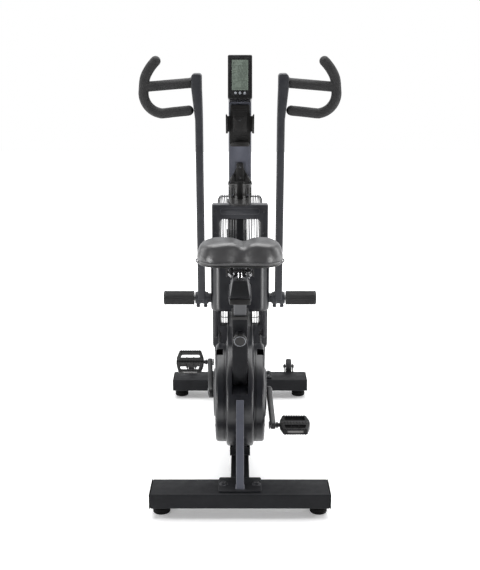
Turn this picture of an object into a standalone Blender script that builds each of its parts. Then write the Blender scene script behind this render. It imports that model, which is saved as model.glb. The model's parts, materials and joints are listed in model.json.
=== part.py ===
"""Air bike: a stationary exercise bike whose pedals and swinging arms turn a caged fan.

Metres. +Z is up, +Y points to the front of the bike (the fan) and +X to the rider's right. The origin
is on the floor under the middle of the bike. Every piece is a separate closed solid, and pieces that
touch keep a small gap.
"""

import math

import bmesh
import bpy
from mathutils import Matrix, Vector

# Overall
LENGTH = 1.300
GAP = 0.0003  # between pieces that touch
RUN = 0.0005  # between a shaft and the hole it turns in

# Stabilisers, feet and transport wheels
STAB_WIDTH = 0.570
STAB_DEPTH = 0.110
STAB_LOW = 0.036
STAB_HIGH = 0.085
STAB_WALL = 0.003
FRONT_STAB_AHEAD = 1.036
FOOT_X = 0.250
FOOT_RADIUS = 0.0275
FOOT_STEM = 0.0055
WHEEL_X = 0.213
WHEEL_Z = 0.095
WHEEL_RADIUS = 0.033
WHEEL_HALF_WIDTH = 0.012
WHEEL_AXLE = 0.005

# Crank and its inner link pins
CRANK_AHEAD = 0.330
CRANK_Z = 0.300
CRANK_LENGTH = 0.170
CRANK_ANGLE = math.radians(18)
AXLE_RADIUS = 0.010
LINK_PIN_THROW = 0.028
WEB_X = (0.055, 0.066)
ROD_X = (0.0682, 0.0782)
LEVER_X = (0.0795, 0.091)
CRANK_ARM_X = (0.0905, 0.1075)
CRANK_ARM_FLARE = 0.008
PEDAL_X = (0.1295, 0.2265)
PEDAL_LENGTH = 0.088
PEDAL_THICKNESS = 0.022
PEDAL_PITCH = {"left": math.radians(38), "right": math.radians(8)}
SPINDLE_RADIUS = 0.0065

# Arms and their pivot
PIVOT_AHEAD = 0.530
PIVOT_Z = 0.580
PIVOT_RADIUS = 0.009
LEVER_DROP = 0.134
LEVER_RADII = (0.019, 0.0125)
ROD_RADIUS = 0.011
LEVER_BACK = 0.003
ARM_LEAN = math.radians(3)
ARM_X = (0.1235, 0.1485)
ARM_DEPTH = 0.050
ARM_TOP = 1.358
HUB_X = (0.112, 0.159)
HUB_RADIUS = 0.0225
SLEEVE_RADIUS = 0.017
PEG_X = (0.162, 0.270)
PEG_RADIUS = 0.025
GRIP_RADIUS = 0.017

# Drive belt and fan
PULLEY_X = (0.027, 0.039)
CRANK_PULLEY = 0.105
FAN_PULLEY = 0.030
FAN_AHEAD = 0.985
FAN_Z = 0.570
FAN_RADIUS = 0.295
FAN_X = (-0.050, 0.024)
FAN_BLADES = 8
FAN_AXLE = 0.008
CAGE_RADIUS = 0.315
CAGE_HALF_WIDTH = 0.0880
CAGE_WIRES = 8
CAGE_WIRE = 0.0025
LEG_X = (0.092, 0.106)

# Frame tubes
BEAM_HALF_WIDTH = 0.030
BEAM_LOW = 0.050
BEAM_HIGH = 0.090
TUBE_WALL = 0.0025
LUG_HIGH = 0.119
BRACKET_HALF_WIDTH = 0.018
BRACKET_AHEAD = (0.339, 0.362)
SEAT_TUBE_TOP_AHEAD = 0.157
SEAT_TUBE_TOP = 0.628
SEAT_TUBE_LEAN = math.radians(16.4)
SEAT_TUBE_SIDE = 0.050
STRUT_WIDTH = 0.025
STRUT_DEPTH = 0.030
STRUT_FOOT_AHEAD = 0.043
STRUT_LEAN = math.radians(26.6)
PLATE_HALF_WIDTH = 0.0675
POST_HALF_WIDTH = 0.0125
POST_AHEAD = (0.608, 0.642)
FORK_AHEAD = (0.600, 0.645)
FORK_OUTER = 0.100
FORK_INNER = 0.073
FORK_FOOT_END = 0.0463
FORK_LOW = 0.365
FORK_HIGH = 0.902
FORK_BAR = 0.050
FORK_FOOT = 0.090
MAST_HALF_WIDTH = 0.0395
MAST_AHEAD = (0.605, 0.643)
MAST_TOP = 1.357

# Covers
CASING_HALF_WIDTH = 0.045
CASING_RADIUS = 0.180
CASING_FRONT = 0.662
CASING_WALL = 0.0025
COVER_RADIUS = 0.166
COVER_X = 0.081
COVER_BOSS_RADIUS = 0.091
COVER_BOSS_X = 0.0882
COVER_WALL = 0.0022
GUARD_X = 0.1028
GUARD_BACK = 0.485
GUARD_LOW = 0.540
GUARD_HIGH = 0.720

# Seat
SEAT_POST_SIDE = 0.040
SEAT_POST_BELOW = 0.400
PIN_DROP = 0.066
PIN_RADIUS = 0.005
HEIGHT_HOLES = 8
HOLE_PITCH = 0.030
SLIDER_PIN_AHEAD = 0.262
SLIDER_PIN_RADIUS = 0.004
KNOB_RADIUS = 0.022
RAIL_HALF_WIDTH = 0.031
RAIL_LOW = 0.684
RAIL_HIGH = 0.7005
RAIL_AHEAD = (0.060, 0.310)
CARRIAGE_AHEAD = (0.0665, 0.235)
CARRIAGE_TOP = 0.737
CLAMP_AHEAD = 0.165
CLAMP_Z = 0.757
PAN_LOW = 0.8055
PAD_LOW = 0.811
PAD_HIGH = 0.886

# Console, holder and bottle cage
CONSOLE_HALF_WIDTH = 0.0415
CONSOLE_AHEAD = 0.575
CONSOLE_Z = 1.345
CONSOLE_HEIGHT = 0.150
CONSOLE_DEPTH = 0.026
CONSOLE_TILT = math.radians(15)
BUTTON_RADIUS = 0.0045
BUTTON_DROP = 0.056
BUTTONS = {"button_left": -0.0155, "button_middle": 0.0, "button_right": 0.0155}
LENS_HALF_WIDTH = 0.0280
LENS_SPAN = (-0.046, 0.058)
BOTTLE_RADIUS = 0.0375
BOTTLE_AHEAD = 0.556

SIDES = {"left": -1, "right": 1}

FINISHES = {
    "powder_coat": ((0.030, 0.031, 0.035), 0.45, 0.0),
    "blue_coat": ((0.075, 0.078, 0.095), 0.42, 0.0),
    "cover_plastic": ((0.022, 0.022, 0.026), 0.35, 0.0),
    "black_plastic": ((0.020, 0.020, 0.021), 0.50, 0.0),
    "rubber": ((0.018, 0.018, 0.018), 0.80, 0.0),
    "vinyl": ((0.030, 0.030, 0.032), 0.48, 0.0),
    "steel": ((0.45, 0.45, 0.46), 0.30, 1.0),
    "chrome": ((0.70, 0.70, 0.71), 0.15, 1.0),
    "lcd": ((0.22, 0.27, 0.22), 0.20, 0.0),
    "button_grey": ((0.35, 0.36, 0.38), 0.40, 0.0),
}


def ahead(distance):
    """Y of a point that far ahead of the rear stabiliser's rear face."""
    return distance - LENGTH / 2


CRANK = Vector((0, ahead(CRANK_AHEAD), CRANK_Z))
PIVOT = Vector((0, ahead(PIVOT_AHEAD), PIVOT_Z))
FAN = Vector((0, ahead(FAN_AHEAD), FAN_Z))
LEVER_END = PIVOT + Vector((0, -LEVER_BACK, -LEVER_DROP))


# Scene and collections


def clear_scene():
    for old in list(bpy.data.objects):
        bpy.data.objects.remove(old)


def collection(name):
    made = bpy.data.collections.new(name)
    bpy.context.scene.collection.children.link(made)
    return made


clear_scene()
PARTS = collection("air_bike")
HELPERS = collection("cutters_and_joined_shapes")


def link(name, data):
    made = bpy.data.objects.new(name, data)
    PARTS.objects.link(made)
    return made


def helper(made):
    """Turns an object into a hidden cutter or joined shape."""
    for owner in list(made.users_collection):
        owner.objects.unlink(made)
    HELPERS.objects.link(made)
    made.hide_render = True
    made.display_type = "WIRE"
    return made


def paint(made, finish):
    """A material of the piece's own, in one of the finishes."""
    colour, roughness, metallic = FINISHES[finish]
    coat = bpy.data.materials.new(made.name + "_" + finish)
    coat.use_nodes = True
    shader = coat.node_tree.nodes["Principled BSDF"]
    shader.inputs["Base Color"].default_value = (*colour, 1.0)
    shader.inputs["Roughness"].default_value = roughness
    shader.inputs["Metallic"].default_value = metallic
    made.data.materials.append(coat)
    return made


def joint_empty(name, at):
    """An empty on a joint's axis, which carries the pieces that move on it."""
    made = bpy.data.objects.new(name, None)
    made.empty_display_size = 0.05
    made.location = at
    PARTS.objects.link(made)
    return made


def carry(empty, *pieces):
    """Parents the pieces to the empty and leaves them where they are."""
    bpy.context.view_layer.update()
    for piece in pieces:
        piece.parent = empty
        piece.matrix_parent_inverse = empty.matrix_world.inverted()


# Shapes


def rotation_about_x(angle):
    return Matrix.Rotation(angle, 4, "X")


def box(name, low, high, bevel=0.0, segments=1):
    """A box from its lowest to its highest corner, with its origin in its middle."""
    low, high = Vector(low), Vector(high)
    shape = bmesh.new()
    bmesh.ops.create_cube(shape, size=1.0)
    bmesh.ops.scale(shape, vec=high - low, verts=shape.verts)
    mesh = bpy.data.meshes.new(name)
    shape.to_mesh(mesh)
    shape.free()
    made = link(name, mesh)
    made.location = (low + high) / 2
    if bevel:
        round_edges(made, bevel, segments)
    return made


def round_edges(made, width, segments=1, angle=math.radians(40)):
    modifier = made.modifiers.new("rounded_edges", "BEVEL")
    modifier.width = width
    modifier.segments = segments
    modifier.limit_method = "ANGLE"
    modifier.angle_limit = angle
    return made


def cylinder(name, start, end, radius, sides=16):
    """A round bar between two points."""
    start, end = Vector(start), Vector(end)
    shape = bmesh.new()
    bmesh.ops.create_cone(
        shape, cap_ends=True, segments=sides, radius1=radius, radius2=radius, depth=(end - start).length
    )
    mesh = bpy.data.meshes.new(name)
    shape.to_mesh(mesh)
    shape.free()
    made = link(name, mesh)
    made.matrix_world = Matrix.Translation((start + end) / 2) @ facing(end - start)
    return shade(made)


def facing(direction):
    """The rotation that turns local +Z to a direction."""
    return Vector(direction).to_track_quat("Z", "Y").to_matrix().to_4x4()


def shade(made, angle=math.radians(35)):
    made.data.shade_smooth()
    made.data.set_sharp_from_angle(angle=angle)
    return made


def turned(name, profile, at, direction, steps=16, closed=False):
    """A turned solid. The profile holds (radius, height) points, down its outer side from the top."""
    mesh = bpy.data.meshes.new(name)
    count = len(profile)
    edges = [(i, i + 1) for i in range(count - 1)]
    if closed:
        edges.append((count - 1, 0))
    mesh.from_pydata([(radius, 0.0, height) for radius, height in profile], edges, [])
    made = link(name, mesh)
    made.matrix_world = Matrix.Translation(Vector(at)) @ facing(direction)
    screw = made.modifiers.new("turned", "SCREW")
    screw.steps = steps
    screw.render_steps = steps
    screw.use_merge_vertices = True
    screw.merge_threshold = 0.00001
    return made


def as_mesh(made):
    """Changes a curve object into a mesh object with the same name and place, and welds its caps."""
    bpy.context.view_layer.update()
    graph = bpy.context.evaluated_depsgraph_get()
    mesh = bpy.data.meshes.new_from_object(made.evaluated_get(graph))
    shape = bmesh.new()
    shape.from_mesh(mesh)
    bmesh.ops.remove_doubles(shape, verts=shape.verts, dist=0.00001)
    bmesh.ops.recalc_face_normals(shape, faces=shape.faces)
    shape.to_mesh(mesh)
    shape.free()
    name, place = made.name, made.matrix_world.copy()
    bpy.data.objects.remove(made)
    mesh.materials.clear()
    changed = link(name, mesh)
    changed.matrix_world = place
    return changed


PLANES = {
    "XY": Matrix.Identity(4),
    "XZ": Matrix.Rotation(math.pi / 2, 4, "X"),
    "YZ": Matrix(((0, 0, 1, 0), (1, 0, 0, 0), (0, 1, 0, 0), (0, 0, 0, 1))),
}


def plate(name, outline, plane, across, smooth=False):
    """A flat outline in a plane, extruded between two positions across that plane."""
    curve = bpy.data.curves.new(name, "CURVE")
    curve.dimensions = "2D"
    curve.fill_mode = "BOTH"
    curve.extrude = abs(across[1] - across[0]) / 2
    if smooth:
        curve.resolution_u = 2
        spline = curve.splines.new("BEZIER")
        spline.bezier_points.add(len(outline) - 1)
        for point, (u, v) in zip(spline.bezier_points, outline):
            point.co = (u, v, 0)
            point.handle_left_type = "AUTO"
            point.handle_right_type = "AUTO"
    else:
        spline = curve.splines.new("POLY")
        spline.points.add(len(outline) - 1)
        for point, (u, v) in zip(spline.points, outline):
            point.co = (u, v, 0, 1)
    spline.use_cyclic_u = True
    made = link(name, curve)
    normal = PLANES[plane] @ Vector((0, 0, 1))
    axis = max(range(3), key=lambda i: abs(normal[i]))
    offset = Vector((0, 0, 0))
    offset[axis] = (across[0] + across[1]) / 2
    made.matrix_world = Matrix.Translation(offset) @ PLANES[plane]
    return as_mesh(made)


def bent_tube(name, points, radius, resolution=2, cyclic=False):
    """A round tube or wire along points."""
    curve = bpy.data.curves.new(name, "CURVE")
    curve.dimensions = "3D"
    curve.bevel_depth = radius
    curve.bevel_resolution = resolution
    curve.use_fill_caps = True
    spline = curve.splines.new("POLY")
    spline.points.add(len(points) - 1)
    for point, place in zip(spline.points, points):
        point.co = (*place, 1)
    spline.use_cyclic_u = cyclic
    return as_mesh(link(name, curve))


def ring(name, centre, direction, radius, thickness, sides=20, tube_sides=4):
    """A wire hoop round a centre."""
    bpy.ops.mesh.primitive_torus_add(
        major_radius=radius, minor_radius=thickness, major_segments=sides, minor_segments=tube_sides
    )
    made = bpy.context.active_object
    made.name = name
    made.matrix_world = Matrix.Translation(Vector(centre)) @ facing(direction)
    return made


def boolean(made, operation, others):
    for other in others:
        helper(other)
        modifier = made.modifiers.new(operation.lower() + "_" + other.name, "BOOLEAN")
        modifier.operation = operation
        modifier.object = other
        modifier.solver = "EXACT"
    return made


def cut(made, *cutters):
    return boolean(made, "DIFFERENCE", cutters)


def join(made, *others):
    return boolean(made, "UNION", others)


def join_all(made, others, name):
    """Joins many crossing shapes in one Boolean."""
    group = bpy.data.collections.new(name)
    HELPERS.children.link(group)
    for other in others:
        helper(other)
        HELPERS.objects.unlink(other)
        group.objects.link(other)
    modifier = made.modifiers.new("union_" + name, "BOOLEAN")
    modifier.operation = "UNION"
    modifier.operand_type = "COLLECTION"
    modifier.collection = group
    modifier.solver = "EXACT"
    return made


# Outlines


def arc(centre, radius, start, end, steps):
    """Points on an arc, with angles in degrees and both ends included."""
    angles = [math.radians(start + (end - start) * i / steps) for i in range(steps + 1)]
    return [(centre[0] + radius * math.cos(a), centre[1] + radius * math.sin(a)) for a in angles]


def rounded(corners, radius, steps=3):
    """An outline whose corners are rounded, each by its own radius where a list is given."""
    radii = radius if isinstance(radius, (list, tuple)) else [radius] * len(corners)
    outline = []
    for i, corner in enumerate(corners):
        here = Vector(corner)
        if not radii[i]:
            outline.append(tuple(here))
            continue
        before = (Vector(corners[i - 1]) - here).normalized()
        after = (Vector(corners[(i + 1) % len(corners)]) - here).normalized()
        half = before.angle(after) / 2
        middle = here + (before + after).normalized() * radii[i] / math.sin(half)
        start = here + before * radii[i] / math.tan(half) - middle
        end = here + after * radii[i] / math.tan(half) - middle
        for k in range(steps + 1):
            toward = start.lerp(end, k / steps).normalized() * radii[i]
            outline.append(tuple(middle + toward))
    return outline


def link_outline(first, first_radius, second, second_radius, steps=6, second_steps=None):
    """The outline of a link or a belt round two circles."""
    first, second = Vector(first), Vector(second)
    along = math.degrees(math.atan2(second.y - first.y, second.x - first.x))
    beta = math.degrees(math.acos((first_radius - second_radius) / (second - first).length))
    back = arc(first, first_radius, along + beta, along + 360 - beta, steps)
    return back + arc(second, second_radius, along - beta, along + beta, second_steps or steps)


def yz(point):
    return (point[1], point[2])


def link_plate(name, first, first_radius, second, second_radius, x_range, steps=6):
    outline = link_outline(yz(first), first_radius, yz(second), second_radius, steps)
    return plate(name, outline, "YZ", x_range)


def across(side, x_range):
    """The X range on one side of the bike, lowest first."""
    return tuple(sorted(SIDES[side] * x for x in x_range))


def through(name, at, radius, x_range, sides=16):
    """A round bar along X at a point."""
    start = Vector((x_range[0], at[1], at[2]))
    end = Vector((x_range[1], at[1], at[2]))
    return cylinder(name, start, end, radius, sides)


# Stand


def stabiliser(name, start):
    """A closed rectangular tube across the bike, with a hole under each end for a levelling foot."""
    low = Vector((-STAB_WIDTH / 2, ahead(start), STAB_LOW))
    high = Vector((STAB_WIDTH / 2, ahead(start + STAB_DEPTH), STAB_HIGH))
    wall = Vector((STAB_WALL, STAB_WALL, STAB_WALL))
    made = box(name, low, high, bevel=0.004)
    cut(made, box(name + "_hollow", low + wall, high - wall))
    for side in SIDES:
        at = foot_place(side, start)
        ends = at + Vector((0, 0, 0.030)), at + Vector((0, 0, 0.045))
        cut(made, cylinder(name + "_hole_" + side, *ends, FOOT_STEM + RUN, 10))
    return paint(made, "powder_coat")


def foot_place(side, start):
    return Vector((SIDES[side] * FOOT_X, ahead(start + STAB_DEPTH / 2), 0))


def levelling_foot(name, at):
    profile = [
        (0, 0.054),
        (FOOT_STEM, 0.054),
        (FOOT_STEM, STAB_LOW - GAP),
        (0.020, STAB_LOW - GAP - 0.004),
        (FOOT_RADIUS, 0.016),
        (FOOT_RADIUS, 0.004),
        (FOOT_RADIUS - 0.003, 0),
        (0, 0),
    ]
    made = paint(turned(name, profile, at, (0, 0, 1), 12), "rubber")
    carry(joint_empty(name + "_axis", at), made)
    return made


def wheel_place(side):
    return Vector((SIDES[side] * WHEEL_X, ahead(FRONT_STAB_AHEAD + STAB_DEPTH + 0.040), WHEEL_Z))


def wheel_brackets(stabiliser_piece):
    """Two fins and an axle for each transport wheel, welded to the front stabiliser."""
    for side in SIDES:
        at = wheel_place(side)
        for fin, offset in (("inner", -0.017), ("outer", 0.017)):
            root = Vector((at.x + offset, ahead(FRONT_STAB_AHEAD + STAB_DEPTH - 0.002), STAB_HIGH - 0.020))
            x_range = (at.x + offset - 0.002, at.x + offset + 0.002)
            shape = link_plate("wheel_fin_" + fin + "_" + side, root, 0.014, at, 0.011, x_range, 3)
            join(stabiliser_piece, shape)
        axle = through("wheel_axle_" + side, at, WHEEL_AXLE, (at.x - 0.021, at.x + 0.021), 8)
        join(stabiliser_piece, axle)


def transport_wheel(side):
    bore = WHEEL_AXLE + RUN
    half = WHEEL_HALF_WIDTH
    profile = [
        (bore, half - 0.002),
        (WHEEL_RADIUS * 0.6, half - 0.003),
        (WHEEL_RADIUS - 0.004, half),
        (WHEEL_RADIUS, half - 0.004),
        (WHEEL_RADIUS, 0.004 - half),
        (WHEEL_RADIUS - 0.004, -half),
        (WHEEL_RADIUS * 0.6, 0.003 - half),
        (bore, 0.002 - half),
    ]
    at = wheel_place(side)
    made = turned("transport_wheel_" + side, profile, at, (1, 0, 0), 16, closed=True)
    carry(joint_empty(made.name + "_axis", at), paint(made, "rubber"))


# Frame


def seat_tube_matrix():
    """The frame of the seat tube: origin at the middle of its top, +Z up along it."""
    top = Vector((0, ahead(SEAT_TUBE_TOP_AHEAD), SEAT_TUBE_TOP))
    return Matrix.Translation(top) @ rotation_about_x(SEAT_TUBE_LEAN)


def along_tube(name, half, low, high, front=None, bevel=0.0):
    """A square bar along the seat tube, from low to high on its axis."""
    depth = half if front is None else front
    made = box(name, (-half, -depth, low), (half, depth, high), bevel)
    made.matrix_world = seat_tube_matrix() @ Matrix.Translation(Vector((0, 0, (low + high) / 2)))
    return made


def tube_envelope(name, clearance):
    return along_tube(name, SEAT_TUBE_SIDE / 2 + clearance, -0.600, 0.030)


def main_beam():
    """The low beam, with the lug under the seat tube and the bottom-bracket shell on its post."""
    low = Vector((-BEAM_HALF_WIDTH, ahead(STAB_DEPTH + 0.0023), BEAM_LOW))
    high = Vector((BEAM_HALF_WIDTH, ahead(FRONT_STAB_AHEAD) - GAP, BEAM_HIGH))
    wall = Vector((TUBE_WALL, -0.010, TUBE_WALL))
    made = box("main_beam", low, high, bevel=0.003)
    cut(made, box("main_beam_hollow", low + wall, high - wall))
    lug_low = (-0.0345, ahead(0.280), BEAM_HIGH - 0.002)
    lug = box("frame_lug", lug_low, (0.0345, ahead(0.365), LUG_HIGH), 0.003)
    post_low = (-BRACKET_HALF_WIDTH, ahead(BRACKET_AHEAD[0]), LUG_HIGH - 0.004)
    post = box("bracket_post", post_low, (BRACKET_HALF_WIDTH, ahead(BRACKET_AHEAD[1]), CRANK_Z))
    shell = through("bracket_shell", CRANK, 0.021, (-0.022, 0.022))
    join(made, lug, post, shell)
    cut(made, through("bracket_bore", CRANK, AXLE_RADIUS + RUN, (-0.040, 0.040)))
    return paint(made, "powder_coat")


def strut_box(name, clearance, length):
    half = STRUT_WIDTH / 2 + clearance
    depth = STRUT_DEPTH / 2 + clearance
    below = 0.004
    made = box(name, (-half, -depth, -below), (half, depth, length))
    foot = Matrix.Translation(Vector((0, ahead(STRUT_FOOT_AHEAD), BEAM_HIGH)))
    middle = Matrix.Translation(Vector((0, 0, (length - below) / 2)))
    made.matrix_world = foot @ rotation_about_x(-STRUT_LEAN) @ middle
    return made


def rear_strut():
    """The mounting plate on the rear stabiliser and the brace from it to the seat tube."""
    low = (-PLATE_HALF_WIDTH, ahead(0.015), STAB_HIGH + GAP)
    high = (PLATE_HALF_WIDTH, ahead(STAB_DEPTH + 0.002), BEAM_HIGH + GAP)
    made = box("rear_strut", low, high, bevel=0.0015)
    bar = strut_box("strut_bar", 0, 0.460)
    cut(bar, tube_envelope("strut_bar_end", GAP))
    floor = box("strut_bar_floor", (-0.1, ahead(0), 0), (0.1, ahead(0.3), STAB_HIGH + 2 * GAP))
    cut(bar, floor)
    ahead_of_tube = along_tube("strut_bar_overrun", 0.1, -0.500, 0.200, front=0.15)
    ahead_of_tube.matrix_world = ahead_of_tube.matrix_world @ Matrix.Translation(Vector((0, 0.15, 0)))
    cut(bar, ahead_of_tube)
    join(made, bar)
    return paint(made, "blue_coat")


def pin_frame(drop):
    """The frame of the pull pin: origin on the seat tube's axis, +Z out through its rear face."""
    return seat_tube_matrix() @ Matrix.Translation(Vector((0, 0, -drop))) @ facing((0, -1, 0))


def on_pin(name, radius, low, high, sides=16, drop=PIN_DROP):
    """A round bar on the pull pin's axis, or on a line square to the seat tube at another drop."""
    made = cylinder(name, (0, 0, low), (0, 0, high), radius, sides)
    made.matrix_world = pin_frame(drop) @ Matrix.Translation(Vector((0, 0, (low + high) / 2)))
    return made


def seat_tube():
    half = SEAT_TUBE_SIDE / 2
    made = along_tube("seat_tube", half, -0.560, 0, bevel=0.004)
    join(made, on_pin("pin_boss", 0.0165, half - 0.002, 0.042))
    cut(made, along_tube("seat_tube_bore", half - TUBE_WALL, -0.600, 0.020))
    cut(made, on_pin("pin_bore", PIN_RADIUS + RUN, half - 0.010, 0.060))
    cut(made, box("seat_tube_floor", (-0.1, ahead(0.2), 0), (0.1, ahead(0.4), LUG_HIGH + GAP)))
    return paint(made, "powder_coat")


def front_post():
    low = Vector((-POST_HALF_WIDTH, ahead(POST_AHEAD[0]), BEAM_HIGH + GAP))
    high = Vector((POST_HALF_WIDTH, ahead(POST_AHEAD[1]), FORK_HIGH - FORK_BAR - GAP))
    wall = Vector((TUBE_WALL, TUBE_WALL, -0.010))
    made = box("front_post", low, high)
    cut(made, box("front_post_hollow", low + wall, high - wall))
    return paint(made, "powder_coat")


def fork_outline(inset):
    """The fork frame from behind: a wide inverted U whose feet turn in. The inset gives its hollow."""
    outer, inner = FORK_OUTER - inset, FORK_INNER + inset
    end = FORK_FOOT_END - (0.010 if inset else 0)
    low, high = FORK_LOW + inset, FORK_HIGH - inset
    foot, bar = FORK_LOW + FORK_FOOT - inset, FORK_HIGH - FORK_BAR + inset
    half = [(inner, bar), (inner, foot), (end, foot), (end, low), (outer, low), (outer, high)]
    radii = [0.018 - inset, 0.008 + inset, 0, 0, 0.022 - inset, 0.003]
    corners = half + [(-x, z) for x, z in reversed(half)]
    return rounded(corners, radii + radii[::-1], steps=2)


def fork_frame():
    """Pressed frame that carries the mast above and the arms' pivot shaft on two lugs."""
    made = plate("fork_frame", fork_outline(0), "XZ", (ahead(FORK_AHEAD[0]), ahead(FORK_AHEAD[1])))
    inner = (ahead(FORK_AHEAD[0]) + 0.003, ahead(FORK_AHEAD[1]) - 0.003)
    cut(made, plate("fork_hollow", fork_outline(0.003), "XZ", inner))
    for side in SIDES:
        root = PIVOT + Vector((0, ahead(FORK_AHEAD[0]) + 0.022 - PIVOT.y, 0))
        lug = link_plate("pivot_lug_" + side, PIVOT, 0.020, root, 0.020, across(side, (0.060, 0.0735)), 5)
        join(made, lug)
        cut(made, through("pivot_bore_" + side, PIVOT, PIVOT_RADIUS + GAP, across(side, (0.050, 0.0765))))
    return paint(made, "powder_coat")


def front_fork():
    """Two legs from the front stabiliser up to the fan axle, on a base plate."""
    plate_low = (-0.135, ahead(FRONT_STAB_AHEAD + 0.012), STAB_HIGH + GAP)
    plate_high = (0.135, ahead(FRONT_STAB_AHEAD + STAB_DEPTH - 0.012), STAB_HIGH + 0.006)
    made = box("front_fork", plate_low, plate_high, bevel=0.0015)
    foot = Vector((0, ahead(FRONT_STAB_AHEAD + STAB_DEPTH / 2), STAB_HIGH + 0.024))
    for side in SIDES:
        leg = link_plate("fan_leg_" + side, foot, 0.0215, FAN, 0.026, across(side, LEG_X), 6)
        join(made, leg)
    cut(made, through("fan_leg_bore", FAN, FAN_AXLE + GAP, (-0.150, 0.150), 12))
    return paint(made, "powder_coat")


def mast():
    low = Vector((-MAST_HALF_WIDTH, ahead(MAST_AHEAD[0]), FORK_HIGH + GAP))
    high = Vector((MAST_HALF_WIDTH, ahead(MAST_AHEAD[1]), MAST_TOP))
    made = box("mast", low, high, bevel=0.004, segments=2)
    wall = Vector((TUBE_WALL, TUBE_WALL, 0.004))
    cut(made, box("mast_hollow", low + Vector((TUBE_WALL, TUBE_WALL, -0.010)), high - wall))
    return paint(made, "blue_coat")


# Covers


def casing_outline():
    """The casing seen from the side: round about the crank, with a nose that rises to the fan."""
    nose_low = (ahead(CASING_FRONT), 0.335)
    to_nose = Vector(nose_low) - Vector(yz(CRANK))
    tangent = math.atan2(to_nose.y, to_nose.x) - math.acos(CASING_RADIUS / to_nose.length)
    end = math.degrees(tangent) + 360
    outline = arc(yz(CRANK), CASING_RADIUS, 90, end, 16)
    rising = [(CASING_FRONT, 0.600), (0.600, 0.568), (0.500, 0.488), (0.440, 0.480)]
    return outline + [nose_low] + [(ahead(y), z) for y, z in rising]


def open_shell(name, outline, x_edge, x_face, wall):
    """A dished half-shell: a flat side at x_face and a rim back to x_edge, where it stays open."""
    shape = bmesh.new()
    edge = [shape.verts.new((x_edge, y, z)) for y, z in outline]
    face = [shape.verts.new((x_face, y, z)) for y, z in outline]
    count = len(outline)
    for i in range(count):
        after = (i + 1) % count
        shape.faces.new((edge[i], edge[after], face[after], face[i]))
    shape.faces.new(face)
    bmesh.ops.recalc_face_normals(shape, faces=shape.faces)
    side_face = max(shape.faces, key=lambda f: len(f.verts))
    if side_face.normal.x * (x_face - x_edge) < 0:
        bmesh.ops.reverse_faces(shape, faces=shape.faces)
    mesh = bpy.data.meshes.new(name)
    shape.to_mesh(mesh)
    shape.free()
    made = link(name, mesh)
    skin = made.modifiers.new("wall", "SOLIDIFY")
    skin.thickness = wall
    skin.offset = -1
    skin.use_even_offset = True
    return made


def casing(side):
    """One half of the belt casing, slotted where the frame passes through it."""
    sign = SIDES[side]
    edge, face = sign * GAP, sign * CASING_HALF_WIDTH
    made = open_shell("casing_" + side, casing_outline(), edge, face, CASING_WALL)
    slack = 0.001
    post_low = (-POST_HALF_WIDTH - slack, ahead(POST_AHEAD[0]) - slack, 0.150)
    post_high = (POST_HALF_WIDTH + slack, ahead(POST_AHEAD[1]) + slack, 0.700)
    bracket_low = (-BRACKET_HALF_WIDTH - slack, ahead(BRACKET_AHEAD[0]) - slack, 0.100)
    bracket_high = (BRACKET_HALF_WIDTH + slack, ahead(BRACKET_AHEAD[1]) + slack, 0.200)
    cut(
        made,
        tube_envelope("casing_seat_slot_" + side, slack),
        strut_box("casing_strut_slot_" + side, slack, 0.400),
        box("casing_post_slot_" + side, post_low, post_high),
        box("casing_bracket_slot_" + side, bracket_low, bracket_high),
        through("casing_axle_hole_" + side, CRANK, 0.013, across(side, (0.030, 0.060))),
    )
    if side == "right":
        mouth_low = (0.022, ahead(CASING_FRONT) - 0.010, 0.340)
        cut(made, box("casing_belt_mouth", mouth_low, (0.0415, ahead(CASING_FRONT) + 0.010, 0.525)))
    return paint(made, "cover_plastic")


def crank_cover(side):
    """A round dished cover over a crank web and its con-rod, with a slot for the rod in its rim."""
    inner, wall = CASING_HALF_WIDTH + GAP, COVER_WALL
    outer = [
        (AXLE_RADIUS + 0.004, COVER_BOSS_X),
        (COVER_BOSS_RADIUS - 0.010, COVER_BOSS_X),
        (COVER_BOSS_RADIUS, COVER_X),
        (COVER_RADIUS - 0.006, COVER_X),
        (COVER_RADIUS, COVER_X - 0.006),
        (COVER_RADIUS, inner),
    ]
    inside = [
        (COVER_RADIUS - wall, inner),
        (COVER_RADIUS - wall, COVER_X - 0.006),
        (COVER_RADIUS - 0.007, COVER_X - wall),
        (AXLE_RADIUS + 0.004, COVER_X - wall),
    ]
    at = Vector((0, CRANK.y, CRANK.z))
    made = turned("crank_cover_" + side, outer + inside, at, (SIDES[side], 0, 0), 24, closed=True)
    rod_slot = slot_cutter("cover_rod_slot_" + side, side, 19, 56)
    pocket = slot_cutter("cover_pocket_" + side, side, 100, 112)
    return paint(cut(made, rod_slot, pocket), "cover_plastic")


def slot_cutter(name, side, start, end):
    """A block that cuts the cover's rim between two angles about the crank."""
    far = COVER_RADIUS + 0.020
    near = COVER_RADIUS - 0.030
    outline = arc(yz(CRANK), far, start, end, 3) + arc(yz(CRANK), near, end, start, 3)
    return plate(name, outline, "YZ", across(side, (0.0565, 0.0795)))


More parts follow.
